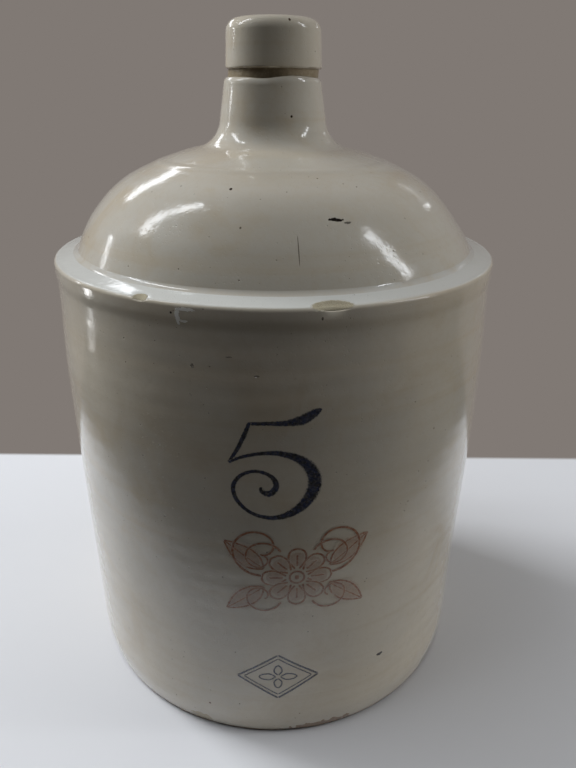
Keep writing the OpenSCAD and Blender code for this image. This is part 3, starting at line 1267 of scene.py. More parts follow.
@dataclass(frozen=True)
class DomedTop(ClayPart):
    """The dome with the bead of lute at its foot, and the neck that laps over its crown.

    The waves of the neck's top are sizes, counts round it and starts. Its swells are sizes,
    angles from the front and half widths in radians.
    """

    steps: int = 320
    sharp_deg: float = 48.0
    pole_in: float = 0.38
    pole_up: float = 0.25
    waist_edge: float = 0.8 * MM
    waves: tuple[Triple, ...] = ((0.3 * MM, 3, 1.0),)
    swells: tuple[Triple, ...] = ((-1.2 * MM, -0.16, 0.34), (0.5 * MM, 0.62, 0.45))
    dip_below: float = 5 * MM
    dip_above: float = 3 * MM
    dip_end: float = 0.2 * MM

    def build_dome(self, glaze: bpy.types.Material, slip: bpy.types.Material) -> None:
        """Build and dress the dome.

        Args:
            glaze: Material of its face.
            slip: Material of its inside.
        """
        form = self.form
        inner_r = form.shoulder_r - form.dome_t
        crown_r = form.crown_r - form.dome_t
        outline = ([(form.shoulder_c[0] + inner_r, form.socket_z), (form.socket_r, form.socket_z),
                    (form.socket_r, form.ledge_z)]
                   + form.dome_face() + form.lap()[1:]
                   + arc(form.crown_c, crown_r, form.lap_deg, form.join_deg, 10)
                   + arc(form.shoulder_c, inner_r, form.join_deg, 0, 16)[1:])
        mesh = spun(outline, self.steps)
        self.finish(mesh, self.sharp_deg, self.inner_face)
        publish(mesh, "domed_top", ["shoulder_dome"], Finish.DOME_GLAZE, glaze, slip)

    def build_lute(self, glaze: bpy.types.Material) -> None:
        """Build and dress the bead of lute.

        Args:
            glaze: Its material.
        """
        form = self.form
        slope = form.ledge_rise / (form.socket_r - form.lip_r + form.lip_round)
        toe = Vector((form.socket_r + form.lute_toe, form.ledge_z + slope * form.lute_toe))
        foot = form.dome_foot()
        head = Vector(foot[-1])
        pole = Vector((head.x + (toe.x - head.x) * self.pole_in,
                       form.ledge_z + form.lute_h * self.pole_up))
        steps = 10
        hollow = []
        for i in range(steps):
            t = i / steps
            point = toe * (1 - t) ** 2 + pole * 2 * t * (1 - t) + head * t * t
            hollow.append((point.x, point.y))
        mesh = spun([(form.socket_r, form.ledge_z)] + hollow + foot[::-1], self.steps)
        self.finish(mesh, self.sharp_deg)
        publish(mesh, "lute_bead", ["shoulder_lute"], Finish.LUTE_GLAZE, glaze)

    def neck_outline(self) -> list[Point]:
        """Lay the closed outline of the neck's section.

        Returns:
            Its points.
        """
        form = self.form
        corner = form.neck_corner
        steps = 12
        turns = [QUARTER * i / steps for i in range(1, steps + 1)]
        oval = [(form.waist_r + (form.neck_top_r - form.waist_r) * math.cos(turn),
                 corner[1] + form.neck_round_h * math.sin(turn)) for turn in turns]
        flare = form.neck_flare()
        inside = form.throat_flare()
        far = form.seam_deg + form.ridge_deg
        under = arc(form.crown_c, form.crown_r - form.dome_t, form.crown_angle(inside[0]),
                    form.lap_deg, 4)
        return (form.crown(form.seam_deg, far, 10)
                + form.crown(far, form.crown_angle(flare[0]), 8)[1:]
                + flare[1:] + straight(flare[-1], corner, 6) + oval
                + [(form.waist_r, form.collar_z), (form.spigot_r, form.collar_z),
                   (form.spigot_r, form.spigot_z), (form.throat_r, form.spigot_z)]
                + inside[::-1] + under[1:] + form.lap()[:0:-1])

    def neck_side(self, middle: Vector, normal: Vector) -> int:
        """Tell the parts of the neck's face apart.

        Args:
            middle: Middle of a face.
            normal: Its normal.

        Returns:
            2 for the waist, 1 for the throat and the skirt's underside, 0 for the rest.
        """
        flat = Vector((middle.x, middle.y, 0))
        out = flat.dot(normal)
        high = middle.z > self.form.neck_corner[1]
        if out > 0 and high and flat.length < self.form.waist_r + self.waist_edge:
            return 2
        return int(out < 0 or self.inner_face(middle, normal))

    def dip(self, place: Vector) -> Vector:
        """Let the neck's rounded top rise and sink a little round its edge.

        Args:
            place: Point on the ideal neck.

        Returns:
            The moved point.
        """
        form = self.form
        corner_z = form.neck_corner[1]
        turn = math.atan2(place.x, -place.y)
        wave = wave_round(place, self.waves) + sum(
            size * math.exp(-((turn - angle) / width) ** 2) for size, angle, width in self.swells)
        near = fade(place.z, corner_z - self.dip_below, corner_z + self.dip_above)
        past = fade(place.z, form.collar_z - form.waist_h + self.dip_end, form.collar_z)
        return place + AXIS * wave * near * (1 - past)

    def build_neck(self, *materials: bpy.types.Material) -> None:
        """Build and dress the neck.

        Args:
            materials: Its glaze, the inner slip and the waist's darker material, which is painted
                shade in the glazed groove under the collar.
        """
        mesh = spun(self.neck_outline(), self.steps)
        self.finish(mesh, self.sharp_deg, self.neck_side, self.dip)
        publish(mesh, "flared_neck", ["neck"], Finish.DOME_GLAZE, *materials)


@dataclass(frozen=True)
class MouthCollar(ClayPart):
    """The turned ring round the mouth, whose lower edge runs in slight waves."""

    steps: int = 240
    sharp_deg: float = 48.0
    waves: tuple[Triple, ...] = ((0.3 * MM, 3, 1.1), (0.2 * MM, 7, 0.0))
    wave_low: float = 1 * MM
    wave_high: float = 9 * MM

    def wander(self, place: Vector) -> Vector:
        """Let the collar's lower edge rise and sink a little.

        Args:
            place: Point on the ideal collar.

        Returns:
            The moved point.
        """
        form = self.form
        low, high = form.collar_z + self.wave_low, form.collar_z + self.wave_high
        outer = fade(math.hypot(place.x, place.y), form.waist_r, form.collar_r)
        return place + AXIS * wave_round(place, self.waves) * (1 - fade(place.z, low, high)) * outer

    def build(self, glaze: bpy.types.Material) -> None:
        """Build and dress the collar.

        Args:
            glaze: Its material.
        """
        form = self.form
        under = (form.collar_r - form.collar_under, form.collar_z + form.collar_under)
        top = (form.collar_top_r - form.collar_round, form.top_z - form.collar_round)
        mouth = (form.bore_r + form.mouth_round, form.top_z - form.mouth_round)
        low = arc(under, form.collar_under, -90, 0, 8)
        high = arc(top, form.collar_round, 0, 90, 16)
        lip = arc(mouth, form.mouth_round, 90, 180, 10)
        outline = ([(form.spigot_r, form.collar_z)] + low + straight(low[-1], high[0], 12)
                   + high[1:] + lip + straight(lip[-1], (form.bore_r, form.spigot_z), 8)
                   + [(form.spigot_r, form.spigot_z)])
        mesh = spun(outline, self.steps)
        self.finish(mesh, self.sharp_deg, dip=self.wander)
        publish(mesh, "turned_collar", ["mouth_collar"], Finish.COLLAR_GLAZE, glaze)


@dataclass(frozen=True)
class StrapHandle(ClayPart):
    """The pulled strap, from the neck's flare over and down to the dome.

    Its sizes are in metres. The square and the swell's power shape its section and its ends.
    """

    width: float = 32 * MM
    end_width: float = 40 * MM
    thickness: float = 12.5 * MM
    end_thickness: float = 21 * MM
    flute: float = 1.3 * MM
    root_drop: float = 15.5 * MM
    land_in: float = 20.5 * MM
    pull_out: float = 38 * MM
    pull_up: float = 21 * MM
    bow_out: float = 12 * MM
    bow_up: float = 88 * MM
    sink: float = 9 * MM
    square: float = 0.72
    swell_power: float = 3.4
    end_share: float = 0.6
    wipe: float = 6 * MM
    wipe_depth: float = 2 * MM
    spread: float = 3.5 * MM
    rings: int = 150
    sides: int = 96
    sharp_deg: float = 60.0

    @cached_property
    def route(self) -> tuple[Vector, ...]:
        """The four poles of the curve that the strap follows.

        Returns:
            The poles, from the neck to the dome.
        """
        form = self.form
        corner = form.neck_corner
        drop = self.root_drop - form.neck_round_h
        root_r = corner[0] + drop * math.tan(math.radians(form.neck_lean_deg))
        root_z = corner[1] - drop
        land_r = form.dome_r - self.land_in
        reach = land_r - form.shoulder_c[0]
        land_z = form.shoulder_c[1] + math.sqrt(form.shoulder_r ** 2 - reach ** 2)
        return (Vector((0, root_r - self.sink, root_z - self.sink / 2)),
                Vector((0, root_r + self.pull_out, root_z + self.pull_up)),
                Vector((0, land_r + self.bow_out, land_z + self.bow_up)),
                Vector((0, land_r - self.sink, land_z - self.sink)))

    @cached_property
    def ground(self) -> list[Point]:
        """Outer face of dome and neck, from the ledge up."""
        return self.form.dome_face() + self.form.neck_flare() + [self.form.neck_corner]

    def at(self, t: float) -> tuple[Vector, Vector]:
        """Find a point of the route.

        Args:
            t: Share of the route, from 0 to 1.

        Returns:
            The point and the direction there.
        """
        a, b, c, d = self.route
        u = 1 - t
        point = a * u ** 3 + b * 3 * u * u * t + c * 3 * u * t * t + d * t ** 3
        heading = (b - a) * u * u + (c - b) * 2 * u * t + (d - c) * t * t
        return point, heading.normalized()

    def section(self, t: float, turn: float) -> Point:
        """Find a point of the strap's section.

        Args:
            t: Share of the route, from 0 to 1.
            turn: Angle round the section, in radians.

        Returns:
            The point's distance across and outwards.
        """
        swell = abs(2 * t - 1) ** self.swell_power
        width = self.width + (self.end_width - self.width) * swell
        depth = self.thickness + (self.end_thickness - self.thickness) * swell
        across, out = (math.copysign(abs(part) ** self.square, part)
                       for part in (math.cos(turn), math.sin(turn)))
        flute = (1 - math.cos(FULL_TURN * (across + 1))) / 2 if out > 0 else 0.0
        return width / 2 * across, depth / 2 * out - self.flute * flute * out

    def clear_of(self, place: Vector) -> float:
        """Measure how far a place is from the face of dome and neck.

        Args:
            place: The place.

        Returns:
            The distance, negative inside the clay.
        """
        spot = Vector((math.hypot(place.x, place.y), place.z))
        best, side = 1.0, 1.0
        for first, second in zip(self.ground, self.ground[1:]):
            a, b = Vector(first), Vector(second)
            run = b - a
            share = min(max((spot - a).dot(run) / run.length_squared, 0.0), 1.0)
            gap = spot - (a + run * share)
            if gap.length < best:
                best = gap.length
                side = 1.0 if gap.x * run.y - gap.y * run.x > 0 else -1.0
        return best * side

    def ring_places(self, t: float) -> list[Vector]:
        """Place one ring of the strap, spread where it is wiped on to the jug.

        Args:
            t: Share of the route, from 0 to 1.

        Returns:
            The places, in order round the strap.
        """
        middle, heading = self.at(t)
        near_end = abs(2 * t - 1) > self.end_share
        places = []
        for i in range(self.sides):
            across, out = self.section(t, FULL_TURN * i / self.sides)
            place = middle + Vector((across, -out * heading.z, out * heading.y))
            if near_end:
                near = 1 - fade(self.clear_of(place), -self.wipe_depth, self.wipe)
                place += (place - middle).normalized() * near * near * self.spread
            places.append(place)
        return places

    def build(self, glaze: bpy.types.Material) -> None:
        """Build and dress the strap.

        Args:
            glaze: Its material.
        """
        mesh = bmesh.new()
        first = bmesh.ops.create_circle(mesh, segments=self.sides, radius=self.width)["verts"]
        ring = first
        for i in range(self.rings + 1):
            if i:
                edges = [mesh.edges.get(pair) for pair in zip(ring, ring[1:] + ring[:1])]
                ring = extruded(mesh, ring, edges)
            for vert, place in zip(ring, self.ring_places(i / self.rings)):
                vert.co = place
        for end in (first, ring):
            mesh.faces.new(end)
        self.finish(mesh, self.sharp_deg)
        publish(mesh, "strap", ["strap_handle"], Finish.HANDLE_GLAZE, glaze)


@dataclass(frozen=True)
class Stroke:
    """One stroke of a print.

    Each point is a distance along the wall, a height and a width, in millimetres from the
    middle of the print.
    """

    points: tuple[Triple, ...]
    strength: float = 1.0

    def mirrored(self) -> "Stroke":
        """The same stroke on the other side of the middle."""
        return Stroke(tuple((-x, z, w) for x, z, w in self.points), self.strength)

    def smooth(self, step: float) -> list[Vector]:
        """Lay the stroke along one smooth curve.

        Args:
            step: About how far apart its points are, in millimetres.

        Returns:
            The points.
        """
        poles = [Vector(p) for p in self.points]
        poles = [2 * poles[0] - poles[1]] + poles + [2 * poles[-1] - poles[-2]]
        made = [poles[1]]
        for a, b, c, d in zip(poles, poles[1:], poles[2:], poles[3:]):
            count = max(2, round((c.xy - b.xy).length / step))
            for i in range(1, count + 1):
                t = i / count
                made.append(0.5 * (2 * b + (c - a) * t + (2 * a - 5 * b + 4 * c - d) * t * t
                                   + (3 * b - a - 3 * c + d) * t ** 3))
        return made


def through(points: Sequence[Vector], width: float) -> Stroke:
    """Make a stroke of one width through flat points."""
    return Stroke(tuple((p.x, p.y, width) for p in points))


def curl(start: Point, heading: float, radii: tuple[float, float], turns: float,
         widths: tuple[float, float], side: int = 1) -> Stroke:
    """Lay a curl that tightens as it runs.

    Args:
        start: First point, in millimetres.
        heading: First direction, in degrees from the rightward one.
        radii: First and last radius of the bend.
        turns: Turns from start to end.
        widths: First and last width of the stroke.
        side: 1 to bend to the left, -1 to the right.

    Returns:
        The stroke.
    """
    steps = max(8, round(turns * 18))
    angle = math.radians(heading)
    turn = side * FULL_TURN * turns / steps
    x, z = start
    points = []
    for i in range(steps + 1):
        share = i / steps
        points.append((x, z, widths[0] + (widths[1] - widths[0]) * share))
        step = (radii[0] + (radii[1] - radii[0]) * share) * abs(turn)
        angle += turn
        x += step * math.cos(angle - turn / 2)
        z += step * math.sin(angle - turn / 2)
    return Stroke(tuple(points))


@dataclass(frozen=True)
class Print:
    """A mark stamped on the wall: strokes of colour that follow the wall's own unevenness.

    Its middle is an angle from the front in degrees, and a height in metres. The step is in
    millimetres, the lifts are in metres, and the spread is half of a drawn stroke's width as
    a share of its own.
    """

    name: str
    slot: Finish
    middle: Point
    strokes: tuple[Stroke, ...]
    columns: int = 4
    step: float = 0.7
    spread: float = 0.62
    tip: float = 0.35
    least_tip: float = 0.4
    lift: float = 0.05 * MM
    next_lift: float = 0.003 * MM

    def on_wall(self, wall: CrockWall, flat: Vector, lift: float) -> Vector:
        """Carry a flat point of the print on to the wall.

        Args:
            wall: The wall.
            flat: Distance along the wall and height, in millimetres.
            lift: Height above the wall.

        Returns:
            The place.
        """
        height = self.middle[1] + flat.y * MM
        turn = math.radians(self.middle[0]) + flat.x * MM / wall.form.belly_r
        out = Vector((math.sin(turn), -math.cos(turn), 0))
        return wall.place(out * wall.form.wall_radius(height) + AXIS * height) + out * lift

    def draw(self, mesh: Mesh, wall: CrockWall, stroke: Stroke, lift: float) -> None:
        """Draw one stroke: a row of edges, extruded along the stroke's curve.

        Args:
            mesh: The print's mesh, with its film and strength layers.
            wall: The wall.
            stroke: The stroke.
            lift: Height above the wall.
        """
        film, strength = (mesh.verts.layers.float[name] for name in ("film", "strength"))
        curve = stroke.smooth(self.step)
        row = [mesh.verts.new() for _ in range(self.columns + 1)]
        edges = [mesh.edges.new(pair) for pair in zip(row, row[1:])]
        travelled = 0.0
        length = sum((b.xy - a.xy).length for a, b in zip(curve, curve[1:]))
        for i, point in enumerate(curve):
            before, after = curve[max(i - 1, 0)], curve[min(i + 1, len(curve) - 1)]
            along = (after.xy - before.xy).normalized()
            side = Vector((-along.y, along.x))
            if i:
                travelled += (point.xy - curve[i - 1].xy).length
                row = extruded(mesh, row, edges)
                edges = [mesh.edges.get(pair) for pair in zip(row, row[1:])]
            tip = min(travelled, length - travelled) / max(self.tip * point.z, self.least_tip)
            for j, vert in enumerate(row):
                share = 2 * j / self.columns - 1
                flat = Vector((point.x, point.y)) + side * share * point.z * self.spread
                vert.co = self.on_wall(wall, flat, lift)
                vert[film] = (1 - abs(share)) * fade(tip, 0, 1)
                vert[strength] = stroke.strength

    def build(self, wall: CrockWall, ink: bpy.types.Material) -> None:
        """Build and dress the print.

        Args:
            wall: The wall that it lies on.
            ink: Its material.
        """
        mesh = bmesh.new()
        for layer in ("film", "strength"):
            mesh.verts.layers.float.new(layer)
        for i, stroke in enumerate(self.strokes):
            self.draw(mesh, wall, stroke, self.lift + self.next_lift * i)
        outward = 0.0
        for face in mesh.faces:
            face.smooth = True
            face.normal_update()
            middle = face.calc_center_median()
            outward += face.normal.dot(Vector((middle.x, middle.y, 0)))
        if outward < 0:
            bmesh.ops.reverse_faces(mesh, faces=mesh.faces)
        publish(mesh, self.name, [], self.slot, ink)


def numeral_strokes() -> tuple[Stroke, ...]:
    """Draw the plain capacity numeral: a five with a flag and a curled bowl.

    Returns:
        Its strokes.
    """
    flag = ((27.5, 35.5, 1.0), (24, 33.5, 4.5), (17, 29.5, 6.0), (8, 27.6, 3.6), (-2, 27.4, 2.4),
            (-12.5, 27.0, 2.0))
    stem = ((-12.5, 28.0, 2.0), (-15.5, 20.0, 2.6), (-19.5, 11.0, 2.4), (-25.0, 1.5, 1.6))
    bowl = ((-25.0, 1.5, 1.4), (-17.5, 5.6, 2.0), (-7, 8.4, 2.4), (4, 8.6, 3.4), (15, 4.8, 5.2),
            (22.5, -3.2, 7.2), (24.4, -13.5, 8.0), (19.6, -24.5, 7.0), (10, -32.5, 4.6),
            (-1.5, -35.0, 2.8), (-13, -31.5, 2.4), (-21, -23, 2.6), (-22.6, -13.5, 2.6),
            (-17.5, -6.0, 2.2), (-9, -3.2, 2.2), (-1, -6.2, 2.6), (2.2, -12.6, 3.6),
            (-1.2, -18.0, 4.2), (-6.2, -16.6, 2.6), (-6.6, -13.4, 1.4))
    return Stroke(flag), Stroke(stem), Stroke(bowl)


def leaf_strokes(root: Vector, tip: Vector, belly: float) -> list[Stroke]:
    """Draw a filled leaf: its wash, both edges and its rib.

    Args:
        root: Where the leaf starts, in millimetres.
        tip: Where it ends.
        belly: Half its greatest width.

    Returns:
        The strokes.
    """
    run = tip - root
    side = Vector((-run.y, run.x)).normalized()
    wash = tuple((*(root + run * share), width * belly)
                 for share, width in ((0.12, 0.9), (0.4, 2.5), (0.65, 2.2), (0.9, 0.8)))
    edges = []
    for sign in (-1, 1):
        swell = [root + run * share + side * sign * belly * width
                 for share, width in ((0.22, 0.8), (0.5, 1.0), (0.78, 0.6))]
        edges.append(through([root, *swell, tip], 1.3))
    return [Stroke(wash, 0.48), *edges, through([root, root + run * 0.5, tip], 1.1)]


def spokes(count: int) -> list[tuple[Vector, Vector]]:
    """Spread directions evenly round the middle.

    Args:
        count: Number of directions.

    Returns:
        Each direction, with the one to its left.
    """
    turns = [FULL_TURN * i / count for i in range(count)]
    return [(Vector((math.cos(a), math.sin(a))), Vector((-math.sin(a), math.cos(a))))
            for a in turns]


def petal(out: Vector, side: Vector, half: Sequence[Point], tip: float) -> list[Vector]:
    """Lay the outline of a petal.

    Args:
        out: Direction of the petal.
        side: Direction to its left.
        half: Points of its right half, as distances outwards and sideways in millimetres.
        tip: Distance of its tip.

    Returns:
        The outline's points.
    """
    right = [out * far - side * wide for far, wide in half]
    left = [out * far + side * wide for far, wide in half]
    return right + [out * tip] + left[::-1]


def blossom_strokes() -> tuple[Stroke, ...]:
    """Draw the plain filled blossom with two leaves and three curls on each side.

    Returns:
        Its strokes.
    """
    strokes = []
    for out, side in spokes(8):
        wash = tuple((*(out * far), width) for far, width in ((8, 5.0), (14, 9.6), (20, 7.0)))
        edge = petal(out, side, ((6.5, 1.2), (13, 5.2), (19.5, 4.6)), 22)
        rib = [out * 8.5, out * 13, out * 17.5]
        strokes += [Stroke(wash, 0.44), through(edge, 1.4), through(rib, 1.4)]
    ring = [out * 4.6 for out, _ in spokes(16)]
    strokes.append(through(ring + ring[:2], 1.4))
    strokes.append(through([Vector((x, 0)) for x in (-1.6, 0, 1.6)], 3.4))
    branch = [stroke for up in (1, -1)
              for stroke in leaf_strokes(Vector((20.5, 7 * up)), Vector((45, 27 * up)), 6.4)]
    branch += [curl((22, 1.5), 4, (20, 2.2), 1.1, (1.8, 1.2)),
               curl((10, 20), 62, (13, 1.8), 1.15, (1.5, 1.1), -1),
               curl((10, -20), -62, (13, 1.8), 1.15, (1.5, 1.1))]
    for stroke in branch:
        strokes += [stroke, stroke.mirrored()]
    return tuple(strokes)


def lozenge_strokes() -> tuple[Stroke, ...]:
    """Draw the small plain lozenge with four petals.

    Returns:
        Its strokes.
    """
    strokes = []
    for width, high, line in ((28.0, 20.0, 1.5), (23.5, 16.6, 0.9)):
        corners = [Vector((-width, 0)), Vector((0, high)), Vector((width, 0)), Vector((0, -high))]
        for a, b in zip(corners, corners[1:] + corners[:1]):
            strokes.append(through([a + (b - a) * i / 6 for i in range(7)], line))
    for i, (out, side) in enumerate(spokes(4)):
        reach = 1.0 if i % 2 else 1.25
        half = ((1.5, 0.0), (4.6 * reach, 2.6), (8.6 * reach, 2.0))
        strokes.append(through(petal(out, side, half, 10.4 * reach), 1.1))
    return tuple(strokes)


DAYLIGHT = (0.95, 0.985, 1.03)
JUG_MIDDLE = Vector((0, 0, 0.26))
WALL_LEFT = Vector((-0.107, -0.105, 0.308))
DOME_LEFT = Vector((-0.066, -0.063, 0.370))


@dataclass(frozen=True)
class Softbox:
    """A soft lamp, placed by the direction in which the jug sees it.

    The azimuth is counted from the back towards the right and the elevation from the table.
    """

    name: str
    azimuth: float
    elevation: float
    width: float
    height: float
    radiance: float
    roll: float = 0.0
    distance: float = 1.5
    aim: Vector = JUG_MIDDLE
    tint: Triple = DAYLIGHT
    glossy: bool = True

    def build(self) -> None:
        """Hang the lamp and turn it to its aim."""
        data = bpy.data.lights.new(self.name, "AREA")
        data.shape = "RECTANGLE"
        data.size = self.width
        data.size_y = self.height
        data.energy = self.radiance * math.pi * self.width * self.height
        data.color = self.tint
        lamp = bpy.data.objects.new(self.name, data)
        azimuth, elevation = math.radians(self.azimuth), math.radians(self.elevation)
        level = math.cos(elevation)
        out = Vector((math.sin(azimuth) * level, math.cos(azimuth) * level, math.sin(elevation)))
        roll = Matrix.Rotation(math.radians(self.roll), 3, "Z")
        turn = (-out).to_track_quat("-Z", "Y").to_matrix() @ roll
        lamp.matrix_world = Matrix.Translation(self.aim + out * self.distance) @ turn.to_4x4()
        lamp.visible_glossy = self.glossy
        lamp.visible_camera = False
        bpy.context.scene.collection.objects.link(lamp)


@dataclass(frozen=True)
class Studio:
    """A plain pale floor, a grey surrounding, soft lamps and the camera.

    Sizes are in metres and angles in degrees. The pale table reaches table_r round its middle
    and ends at table_end behind the jug. The camera tilts up from straight down, then rolls.
    """

    floor_size: float = 30.0
    table_end: float = 0.232
    table_edge: float = 0.008
    table_middle: Vector = Vector((0, 0.2, 0))
    table_r: float = 0.42
    table_fade: float = 1.3
    plain_from: float = 0.9
    plain_to: float = 1.5
    table_tone: Rgb = (219, 219, 221)
    far_tone: Rgb = (72, 70, 68)
    background: Rgb = (128, 121, 116)
    lens: float = 30.0
    sensor: float = 36.0
    clip: float = 0.01
    camera_at: Vector = Vector((0.01005, -0.46188, 0.41667))
    camera_tilt: float = 65.625
    camera_roll: float = 0.4775

    MIRRORED = (0.0, 0.45, 1.0)
    GLOW = (-0.15, 0.7, 0.1)
    WHITE = (1.0, 1.0, 1.0)
    SOFTBOXES = (
        Softbox("window_left", -32.2, 28.5, 0.28, 0.048, 4.3, -15, 0.6, DOME_LEFT),
        Softbox("window_side", -78.5, 50.5, 0.14, 0.76, 6.8, 13),
        Softbox("window_right", 99, 38, 0.10, 0.70, 9.0, 4),
        Softbox("window_low", -71.5, 17.5, 0.05, 0.26, 9.0, 38),
        Softbox("window_far", 45, 22.2, 0.03, 0.04, 13.0),
        Softbox("window_far_edge", 38.5, 26.5, 0.40, 0.015, 3.0, 31),
        Softbox("sill_left", -75.5, -14.4, 0.08, 0.075, 6.4, 0, 0.9, WALL_LEFT, WHITE),
        Softbox("sill_low", -74, -25, 0.06, 0.24, 2.0, 0, 0.9, WALL_LEFT, WHITE),
        Softbox("fill_side", -64, 25, 1.00, 1.80, 14.5, distance=3.0, glossy=False),
        Softbox("fill_left", -98, 60, 1.80, 1.80, 3.0, distance=3.0, glossy=False),
        Softbox("fill_right", 88, 11, 1.80, 1.80, 3.9, distance=3.0, tint=WHITE, glossy=False),
        Softbox("fill_top", -98, 88, 1.80, 1.80, 0.9, distance=3.0, tint=WHITE, glossy=False),
    )

    def build_floor(self) -> None:
        """Lay the floor, which is pale near the jug and grey beyond the table's end."""
        mesh = bmesh.new()
        bmesh.ops.create_grid(mesh, x_segments=1, y_segments=1, size=self.floor_size)
        placed(mesh, "floor", [self.floor_material()])

    def floor_material(self) -> bpy.types.Material:
        """Write the floor's material, plain to the camera beyond the table's end.

        Returns:
            The material.
        """
        recipe = Recipe("floor")
        way = {0: recipe.place, 1: self.table_middle}
        away = recipe.node("ShaderNodeVectorMath", way, operation="DISTANCE").outputs["Value"]
        path = recipe.node("ShaderNodeLightPath").outputs
        hidden = recipe.math("SUBTRACT", 1.0, path["Is Camera Ray"])
        outer = recipe.span(away, self.table_r, self.table_fade * self.table_r)
        far = recipe.math("MULTIPLY", outer, hidden)
        tone = recipe.mix(far, linear(self.table_tone), linear(self.far_tone))
        recipe.dress({"Base Color": tone, "Roughness": 0.8, "Specular IOR Level": 0.1})
        behind = recipe.span(recipe.along("Y"), self.table_end, self.table_end + self.table_edge)
        beside = recipe.span(away, self.plain_from, self.plain_to)
        beyond = recipe.math("MAXIMUM", beside, behind)
        seen = recipe.math("MAXIMUM", path["Is Camera Ray"], path["Is Glossy Ray"])
        plain = recipe.node("ShaderNodeEmission", {"Color": linear(self.background)})
        shaders = {0: recipe.math("MULTIPLY", seen, beyond), 1: recipe.shader.outputs[0],
                   2: plain.outputs[0]}
        pick = recipe.node("ShaderNodeMixShader", shaders)
        recipe.feed(recipe.tree.nodes["Material Output"].inputs["Surface"], pick.outputs[0])
        return recipe.material

    def build_world(self) -> None:
        """Write the world: paler behind, plain grey to the camera and in what the glaze mirrors."""
        world = bpy.data.worlds.new("studio")
        bpy.context.scene.world = world
        world.use_nodes = True
        sheet = NodeSheet(world.node_tree)
        way = sheet.node("ShaderNodeTexCoord").outputs["Generated"]
        back = sheet.node("ShaderNodeSeparateXYZ", {0: way}).outputs["Y"]
        path = sheet.node("ShaderNodeLightPath").outputs
        black, grey = linear((0, 0, 0)), linear(self.background)
        mirrored, glow = (sheet.node("ShaderNodeMapRange", {
            "Value": back, "From Min": low, "From Max": high, "To Max": most}).outputs[0]
            for low, high, most in (self.MIRRORED, self.GLOW))
        shown = sheet.mix(path["Is Glossy Ray"], glow, sheet.mix(mirrored, black, grey))
        seen = sheet.mix(path["Is Camera Ray"], shown, grey)
        sheet.feed(world.node_tree.nodes["Background"].inputs["Color"], seen)

    def build_camera(self) -> None:
        """Set the camera where the photograph was taken from."""
        data = bpy.data.cameras.new("camera")
        data.lens = self.lens
        data.sensor_width = self.sensor
        data.clip_start = self.clip
        camera = bpy.data.objects.new("camera", data)
        turn = (Matrix.Rotation(math.radians(self.camera_tilt), 3, "X")
                @ Matrix.Rotation(math.radians(self.camera_roll), 3, "Z"))
        camera.matrix_world = Matrix.Translation(self.camera_at) @ turn.to_4x4()
        bpy.context.scene.collection.objects.link(camera)
        bpy.context.scene.camera = camera

    def build(self) -> None:
        """Build the whole studio."""
        self.build_floor()
        self.build_world()
        for softbox in self.SOFTBOXES:
            softbox.build()
        self.build_camera()
        bpy.context.scene.view_settings.view_transform = "Standard"


# Nearly white tone of the raised glaze scar: a painted highlight that the scar catches; its relief
# is its own.
SCAR_PAINTED_GLINT = (252, 250, 242)
PIT = (56, 44, 36)
WALL_MARKS = (
    Mark(-18.5, 0.1508, 0.3105, (0.0012, 0.004, 0.0048), SCAR_PAINTED_GLINT, 0.9, 0.6, 600, 1.2 * MM),
    Mark(-16.6, 0.1508, 0.3148, (0.0050, 0.004, 0.0009), SCAR_PAINTED_GLINT, 0.9, 0.9, 700, 0.9 * MM),
    Mark(-17.3, 0.1508, 0.3082, (0.0020, 0.004, 0.0008), SCAR_PAINTED_GLINT, 0.8, 0.9, 700, 0.9 * MM),
    Mark(-19.9, 0.1508, 0.3123, (0.0007, 0.003, 0.0007), PIT),
    Mark(-16.0, 0.1508, 0.2832, (0.0010, 0.003, 0.0014), PIT, 0.6, 0.9, 900, -0.4 * MM),
    Mark(-2.4, 0.1508, 0.2798, (0.0014, 0.003, 0.0006), PIT, 0.6, 0.9, 900, -0.3 * MM),
    Mark(-8.2, 0.1508, 0.2901, (0.0014, 0.003, 0.0005), PIT, 0.6, 0.9, 900, -0.3 * MM),
    Mark(10.5, 0.1508, 0.3117, (0.0006, 0.003, 0.0010), PIT, 0.8),
    Mark(30.6, 0.1500, 0.0572, (0.0024, 0.003, 0.0014), PIT, 1.0, 0.5, 600),
    Mark(14.0, 0.1475, 0.0030, (0.0230, 0.006, 0.0044), (126, 92, 58), 0.78, 1.0, 260),
    Mark(-20.0, 0.1475, 0.0055, (0.0080, 0.006, 0.0042), (152, 134, 96), 0.6, 0.9, 300),
    Mark(-16.8, 0.1485, 0.0244, (0.0008, 0.003, 0.0008), (92, 62, 40)),
)
DOME_MARKS = (
    Mark(17.7, 0.113, 0.3548, (0.0030, 0.0016, 0.0010), (30, 25, 22), 1.0, 0.8, 800),
    Mark(19.3, 0.113, 0.3541, (0.0026, 0.0014, 0.0007), (34, 28, 24), 1.0, 0.8, 900),
    Mark(21.6, 0.114, 0.3527, (0.0024, 0.0014, 0.0005), (48, 40, 34), 0.8, 1.3, 1100),
    Mark(-14, 0.094, 0.368, (0.0009, 0.002, 0.0007), (60, 50, 42)),
    Mark(-8, 0.115, 0.351, (0.0007, 0.002, 0.0007), (66, 52, 40), 0.8),
    Mark(7, 0.1235, 0.340, (0.0003, 0.007, 0.011), (96, 84, 72), 0.85, 0.15, 500),
    Mark(18.5, 0.036, 0.404, (0.0009, 0.003, 0.0009), (52, 40, 30)),
)
COLLAR_MARKS = (Mark(18.9, 0.029, 0.457, (0.0008, 0.003, 0.0008), (70, 50, 36)),)


